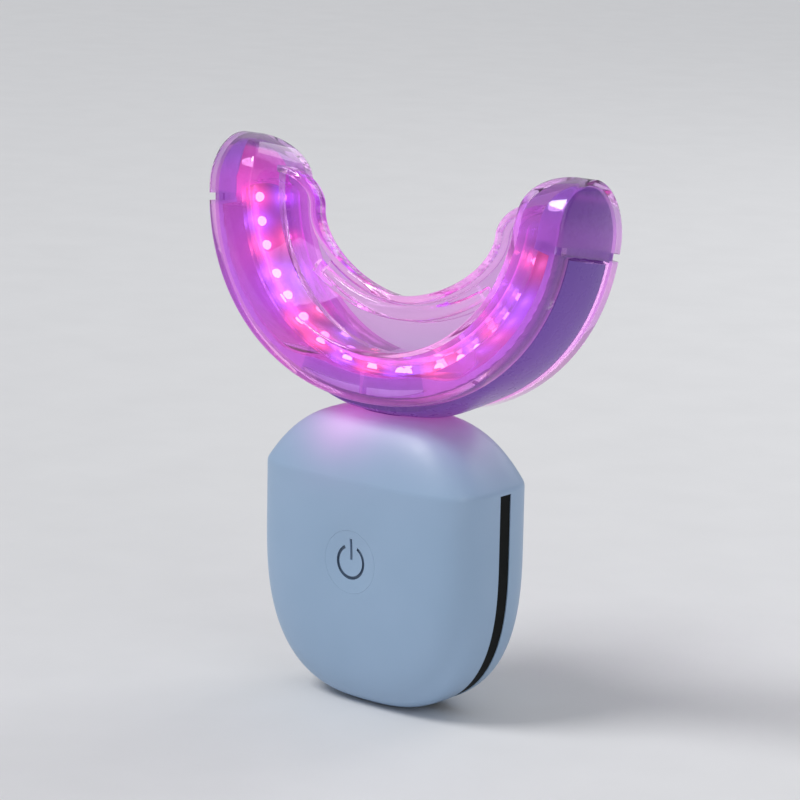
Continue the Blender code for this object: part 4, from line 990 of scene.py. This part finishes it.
def window_section(s, shrink=0.0):
    """Outline of the window, or of the hollow under it where it is shrunk."""
    share = end_share(s, WINDOW_REACH - shrink, WINDOW_END - shrink)
    y = (WINDOW_HALF_HEIGHT - shrink) * share
    low = STRIP_OUTER - (OVERRUN / 4 if shrink else 0)
    high = WINDOW_OUTER if shrink else WINDOW_INNER
    radius = FINE_EDGE if shrink else WINDOW_EDGE
    return rounded((low + swell(s), -y), (high + swell(s), y),
                   (FOOT_EDGE, radius, radius, FOOT_EDGE), 3)


def window_shade(points):
    """Clear window, tinted for the lamps' light, with a painted halo over each lamp and painted lamp light
    in its inner edges.
    """
    along, inset, y = arch_coords(points)
    square = (np.abs(y) - WINDOW_HALF_HEIGHT) ** 2 + (inset - swell(along) - WINDOW_INNER) ** 2
    edge = np.exp(-square / WINDOW_EDGE_SOFT ** 2)
    on_skirt = np.abs(y) > WINDOW_HALF_HEIGHT - WINDOW_SKIRT
    glow = halo(along, inset, y, np.where(on_skirt, HALO_SKIRT_SHARE, HALO_FACE_SHARE))
    return {"tint": blend(edge, WINDOW_LIT_PINK, hue(points, WINDOW_HUE_SHARE)),
            "glow": glow + lamp_light(points, *WINDOW_EDGE_GLOW) * edge[:, None]}


def make_window(finish):
    places = stations(WINDOW_REACH, WINDOW_END, 220)
    widest = window_section(0.0)
    window = sweep("clear_window", places, lambda s: dense(window_section(s), widest), finish, 40.0)
    places = stations(WINDOW_REACH - WINDOW_SKIRT, WINDOW_END - WINDOW_SKIRT)
    hollow = sweep("window_hollow", places, lambda s: window_section(s, WINDOW_SKIRT))
    settle(combine(window, hollow), "light_window")
    paint(window, window_shade)


def inner_edge(steps=110, flare_steps=20):
    """Inner edge of the bite plate: round in the middle and flared out to the lining at its tips."""
    centre = ARCH_DEPTH - INNER_CENTRE_DROP
    flare = ARCH_HALF_WIDTH - LINING_MIDDLE - swell(PLATE_REACH) - INNER_HALF_WIDTH
    power = 2 / INNER_POWER
    right = [(INNER_HALF_WIDTH * sin(a) ** power, centre - INNER_DEPTH * abs(cos(a)) ** power)
             for a in (pi / 2 * i / (steps // 2) for i in range(steps // 2 + 1))]
    right += [(INNER_HALF_WIDTH + flare * (1 - cos(a)), centre + PLATE_TIP_RISE * sin(a))
              for a in (pi / 2 * i / flare_steps for i in range(1, flare_steps + 1))]
    return [(-x, z) for x, z in reversed(right[1:])] + right


def offset_path(path, distance):
    moved = []
    for i, (x, z) in enumerate(path):
        (x0, z0), (x1, z1) = path[max(i - 1, 0)], path[min(i + 1, len(path) - 1)]
        length = hypot(x1 - x0, z1 - z0)
        moved.append((x + (z1 - z0) / length * distance, z - (x1 - x0) / length * distance))
    return moved


def wall_along(name, path, thickness, height, radius):
    rings = []
    for (x0, z0), (x1, z1) in zip(path, offset_path(path, thickness)):
        outline = rounded((0.0, -height / 2), (thickness, height / 2), (radius,) * 4)
        rings.append([lean(x0 + (x1 - x0) * t / thickness, y, z0 + (z1 - z0) * t / thickness)
                      for t, y in outline])
    return add_object(name, *loft(rings))


def tray_wall(s):
    y = TRAY_HALF_HEIGHT * end_share(s, ARCH_REACH, TRAY_END)
    inner = round_tip(s, LINING_INNER, TIP_INSET + LINING_THICKNESS, ARCH_REACH)
    radii = (TRAY_CORNER, TRAY_INNER_EDGE, TRAY_INNER_EDGE, TRAY_CORNER)
    return rounded((0.0, -y), (inner, y), radii, 5)


def tray_hollow(s):
    reach, end_length = ARCH_REACH - RIM, TRAY_END - RIM
    y = (TRAY_HALF_HEIGHT - RIM) * end_share(s, reach, end_length)
    inner = round_tip(s, LINING_OUTER, TIP_INSET, reach)
    return rounded((LIP_THICKNESS, -y), (inner, y), (FINE_EDGE,) * 4, 2)


def tray_opening(s):
    y = LIP_EDGE * end_share(s, OPENING_END, GAP)
    half = [(-OVERRUN / 2, y + FINE_EDGE), (0.0, y + FINE_EDGE), (FINE_EDGE, y), (LIP_THICKNESS + GAP, y)]
    return half + [(inset, -side) for inset, side in reversed(half)]


def cut_notches(tray, side):
    """Notches through the lips and into the rims near one tip."""
    places = [side * (NOTCH_ALONG + k * NOTCH_WIDTH / 2) for k in (-1, 1)]
    for face in (-1, 1):
        near, far = face * (TRAY_HALF_HEIGHT - NOTCH_REACH), face * (TRAY_HALF_HEIGHT + GAP)
        rim = face * (TRAY_HALF_HEIGHT - RIM * NOTCH_RIM_SHARE)
        past = LIP_THICKNESS + GAP
        outline = [(-OVERRUN / 2, near), (-OVERRUN / 2, far), (NOTCH_INSET, far), (NOTCH_INSET, rim),
                   (past, rim), (past, near)]
        combine(tray, sweep("notch", places, lambda s: outline))


def cut_slot(tray, side):
    """Tapered slot in the near rim on one side of the tab in the middle."""
    near, far = TRAY_HALF_HEIGHT - RIM - GAP / 2, TRAY_HALF_HEIGHT + GAP
    half_tab, length = SLOT_TAB / 2, SLOT_REACH - SLOT_TAB
    turns = np.linspace(0, radians(82), 25)
    places = [side * (half_tab + length * sin(turn)) for turn in turns]

    def section(s):
        share = (abs(s) - half_tab) / length
        high = SLOT_HALF_HEIGHT * max(sqrt(max(1 - share ** 2, 0)), SLOT_END_SHARE)
        return [(SLOT_INSET - high, -far), (SLOT_INSET - high, -near), (SLOT_INSET + high, -near),
                (SLOT_INSET + high, -far)]

    combine(tray, sweep("slot", places, section))


def add_plate(tray, steps=160):
    """Bite plate across the arch, with the wall that stands along its inner edge."""
    path = inner_edge()
    places = [PLATE_REACH * (2 * i / steps - 1) for i in range(steps + 1)]
    root = [arch_spot(s, LINING_MIDDLE + swell(s)) for s in places]
    outline = path + root[::-1][1:-1]
    half = PLATE_THICKNESS / 2
    rings = [[lean(x, y, z) for x, z in outline] for y in (-half, half)]
    combine(tray, add_object("plate", *loft(rings)), "UNION")
    combine(tray, wall_along("inner_wall", path, INNER_WALL, INNER_WALL_HEIGHT, TRAY_INNER_EDGE), "UNION")


def add_bead(tray, count=61):
    front = [(BEAD_HALF_WIDTH * t, BEAD_LOW_Z + BEAD_THICKNESS + BEAD_RISE * abs(t) ** BEAD_POWER)
             for t in np.linspace(-1, 1, count)]
    combine(tray, wall_along("bead", front, BEAD_THICKNESS, BEAD_HEIGHT, BEAD_EDGE), "UNION")


def tray_shade(points):
    """Clear silicone tinted violet for the lamps' light, with painted lamp light in its rims, lips and
    ridges.
    """
    along, inset, y = arch_coords(points)
    line = np.exp(-((np.abs(y) - INNER_WALL_HEIGHT / 2) / RIDGE_SOFT) ** 2)
    line = line * (inset > RIDGE_INSET) * RIDGE_SHARE
    for place, height, soft in ((GAP, TRAY_HALF_HEIGHT, RIM_LINE_SOFT),
                                (0.0, LIP_EDGE, LIP_LINE_SOFT),
                                (LINING_INNER + swell(along), TRAY_HALF_HEIGHT, RIM_LINE_SOFT)):
        line += np.exp(-((inset - place) ** 2 + (np.abs(y) - height) ** 2) / soft ** 2)
    line = np.clip(line, 0, 1)
    return {"tint": blend(line, TRAY_LIT_VIOLET, hue(points, TRAY_HUE_SHARE)),
            "glow": lamp_light(points, *TRAY_LINE_GLOW) * line[:, None] + lamp_light(points, *TRAY_GLOW)}


def make_tray(finish):
    """Clear silicone tray: wall, lips, bite plate, inner wall and front bead in one piece."""
    places = stations(ARCH_REACH, TRAY_END, ends=26)
    tray = sweep("clear_tray", places, tray_wall, finish, 38.0)
    combine(tray, sweep("tray_hollow", stations(ARCH_REACH - RIM, TRAY_END - RIM), tray_hollow))
    ends = [k * (OPENING_END - GAP * t) for t in (1.0, 0.4, 0.1, 0.01) for k in (-1, 1)]
    places = sorted([s for s in places if abs(s) < OPENING_END - 2 * GAP] + ends)
    combine(tray, sweep("tray_opening", places, tray_opening))
    combine(tray, handle_solid("tray_clearance", -GAP, CLEARANCE_STEPS))
    for side in (-1, 1):
        cut_notches(tray, side)
        cut_slot(tray, side)
    add_plate(tray)
    add_bead(tray)
    settle(tray, "silicone_tray")
    paint(tray, tray_shade)


def dress_solids():
    """Gives the carried-over solids their finishes."""
    black = moulded("case_black", (0.004, 0.004, 0.005), (0.008, 0.008, 0.010), 0.62)
    green = moulded("board_green", (0.02, 0.16, 0.07), (0.03, 0.22, 0.10), 0.4)
    foil = moulded("cell_foil", (0.45, 0.47, 0.50), (0.60, 0.62, 0.65), 0.35, Metallic=0.6)
    gold = moulded("contact_gold", (0.80, 0.56, 0.22), (0.88, 0.66, 0.30), 0.24, 0.000004, Metallic=1.0)
    steel = moulded("steel", (0.50, 0.51, 0.53), (0.58, 0.59, 0.60), 0.34, 0.000004, Metallic=1.0)
    amber = moulded("ribbon_amber", (0.50, 0.26, 0.05), (0.62, 0.34, 0.08), 0.35)
    natural = moulded("socket_white", (0.72, 0.70, 0.64), (0.78, 0.76, 0.70), 0.5)
    rubber = moulded("seal_rubber", (0.10, 0.10, 0.11), (0.14, 0.14, 0.15), 0.7)
    chip = moulded("chip_black", (0.02, 0.02, 0.02), (0.04, 0.04, 0.04), 0.5)
    finishes = {
        "case_front": black, "case_back": black, "main_board": green, "battery": foil,
        "charge_contact_left": gold, "charge_contact_right": gold, "dock_magnet_left": steel,
        "dock_magnet_right": steel, "stem_clip": steel, "flex_ribbon": amber, "ribbon_socket": natural,
        "switch_cap": natural, "stem_seal": rubber, "switch_base": chip, "controller_chip": chip,
        "driver_coil": chip,
    }
    for name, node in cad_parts.items():
        finish = steel if name.startswith("case_screw") else finishes.get(name)
        if finish:
            node.data.materials.clear()
            node.data.materials.append(finish.material)


def make_camera():
    a, e, roll = (radians(v) for v in (CAMERA_AZIMUTH_DEG, CAMERA_HEIGHT_DEG, CAMERA_ROLL_DEG))
    back = Vector((sin(a) * cos(e), -cos(a) * cos(e), sin(e)))
    level = Vector((cos(a), sin(a), 0))
    upright = back.cross(level)
    right = level * cos(roll) + upright * sin(roll)
    up = upright * cos(roll) - level * sin(roll)
    aim = Vector(CAMERA_AIM) + right * CAMERA_AIM_RIGHT + up * CAMERA_AIM_UP
    data = bpy.data.cameras.new("camera")
    data.lens = CAMERA_LENS
    data.clip_start = CAMERA_NEAR
    camera = bpy.data.objects.new("camera", data)
    bpy.context.scene.collection.objects.link(camera)
    camera.matrix_world = (Matrix.Translation(aim + back * CAMERA_DISTANCE)
                           @ Matrix((right, up, back)).transposed().to_4x4())
    bpy.context.scene.camera = camera


def make_floor():
    mesh = bpy.data.meshes.new("floor")
    half = FLOOR_HALF_WIDTH
    mesh.from_pydata([(-half, -half, 0), (half, -half, 0), (half, half, 0), (-half, half, 0)], [],
                     [(0, 1, 2, 3)])
    floor = bpy.data.objects.new("floor", mesh)
    bpy.context.scene.collection.objects.link(floor)
    mesh.materials.append(moulded("floor_pale", (0.74, 0.74, 0.75), (0.76, 0.76, 0.77), 0.6).material)


def add_light(name, kind, direction, power):
    """A light that shines along a direction."""
    light = bpy.data.objects.new(name, bpy.data.lights.new(name, kind))
    light.data.energy = power
    light.rotation_euler = Vector(direction).to_track_quat("-Z", "Y").to_euler()
    bpy.context.scene.collection.objects.link(light)
    return light


def make_studio():
    world = bpy.data.worlds.new("studio")
    bpy.context.scene.world = world
    world.use_nodes = True
    background = world.node_tree.nodes["Background"]
    background.inputs["Color"].default_value = (*WORLD_COLOUR, 1)
    background.inputs["Strength"].default_value = WORLD_STRENGTH
    add_light("key", "SUN", SUN_DIRECTION, SUN_POWER).data.angle = radians(SUN_ANGLE_DEG)
    for name, (place, size, power) in AREA_LIGHTS.items():
        light = add_light(name, "AREA", Vector(AREA_LIGHT_AIM) - Vector(place), power)
        light.location = place
        light.data.size = size
    bpy.context.scene.view_settings.view_transform = "Standard"


def body_finish():
    """Soft white skin with the lamps' light painted on as glow."""
    made = moulded("body_soft_white", (0.300, 0.43, 0.60), (0.320, 0.45, 0.625), 0.40, 0.00001,
                   Emission_Strength=1.0)
    return made.link(made.attribute("glow"), "Emission Color")


def band_finish():
    return moulded("band_black", (0.002, 0.003, 0.003), (0.004, 0.005, 0.005), 0.70,
                   Specular_IOR_Level=0.15)


def arch_finish():
    """Smooth white moulding, in the painted lamp light and shade that its points carry as colour and glow.
    """
    made = Finish("arch_gloss_white", Emission_Strength=0.6, Specular_IOR_Level=0.3)
    return textured(carry_light(made), 0.28, 0.000004)


def strip_finish():
    # Purple base colour and glow painted on the white strip for the lamps' light
    made = moulded("strip_white", (0.34, 0.12, 0.36), (0.38, 0.15, 0.40), 0.45, Emission_Strength=1.0)
    return made.link(made.attribute("glow"), "Emission Color")


def lamp_finish(name, light, white, roughness, strength):
    """Lit plastic in the lamp's colour, with a share of white in its light."""
    return Finish(name, Base_Color=light, Roughness=roughness, Emission_Strength=strength,
                  Emission_Color=tuple(white + (1 - white) * v for v in light))


def make_pieces():
    body_white = body_finish()
    ink = moulded("symbol_grey", (0.09, 0.14, 0.22), (0.11, 0.16, 0.24), 0.5)
    make_skin(body_white)
    make_button_seam(body_white)
    make_slit_band(band_finish())
    make_button(body_white, ink)
    make_backing(arch_finish())
    make_carriers(clear("carrier_clear", 0.004, 1.03, 0.03))
    make_strip(strip_finish())
    make_lamps({colour: lamp_finish("package_" + colour, GLOW[colour], 0.0, 0.3, 1.0) for colour in GLOW},
               {colour: lamp_finish("lens_" + colour, GLOW[colour], 0.25, 0.2, 4.5) for colour in GLOW})
    make_window(clear("window_clear", 0.004, 1.03, 0.80))
    make_tray(clear("tray_silicone", 0.006, 1.15, 0.60))


dress_solids()
make_pieces()
make_camera()
make_floor()
make_studio()
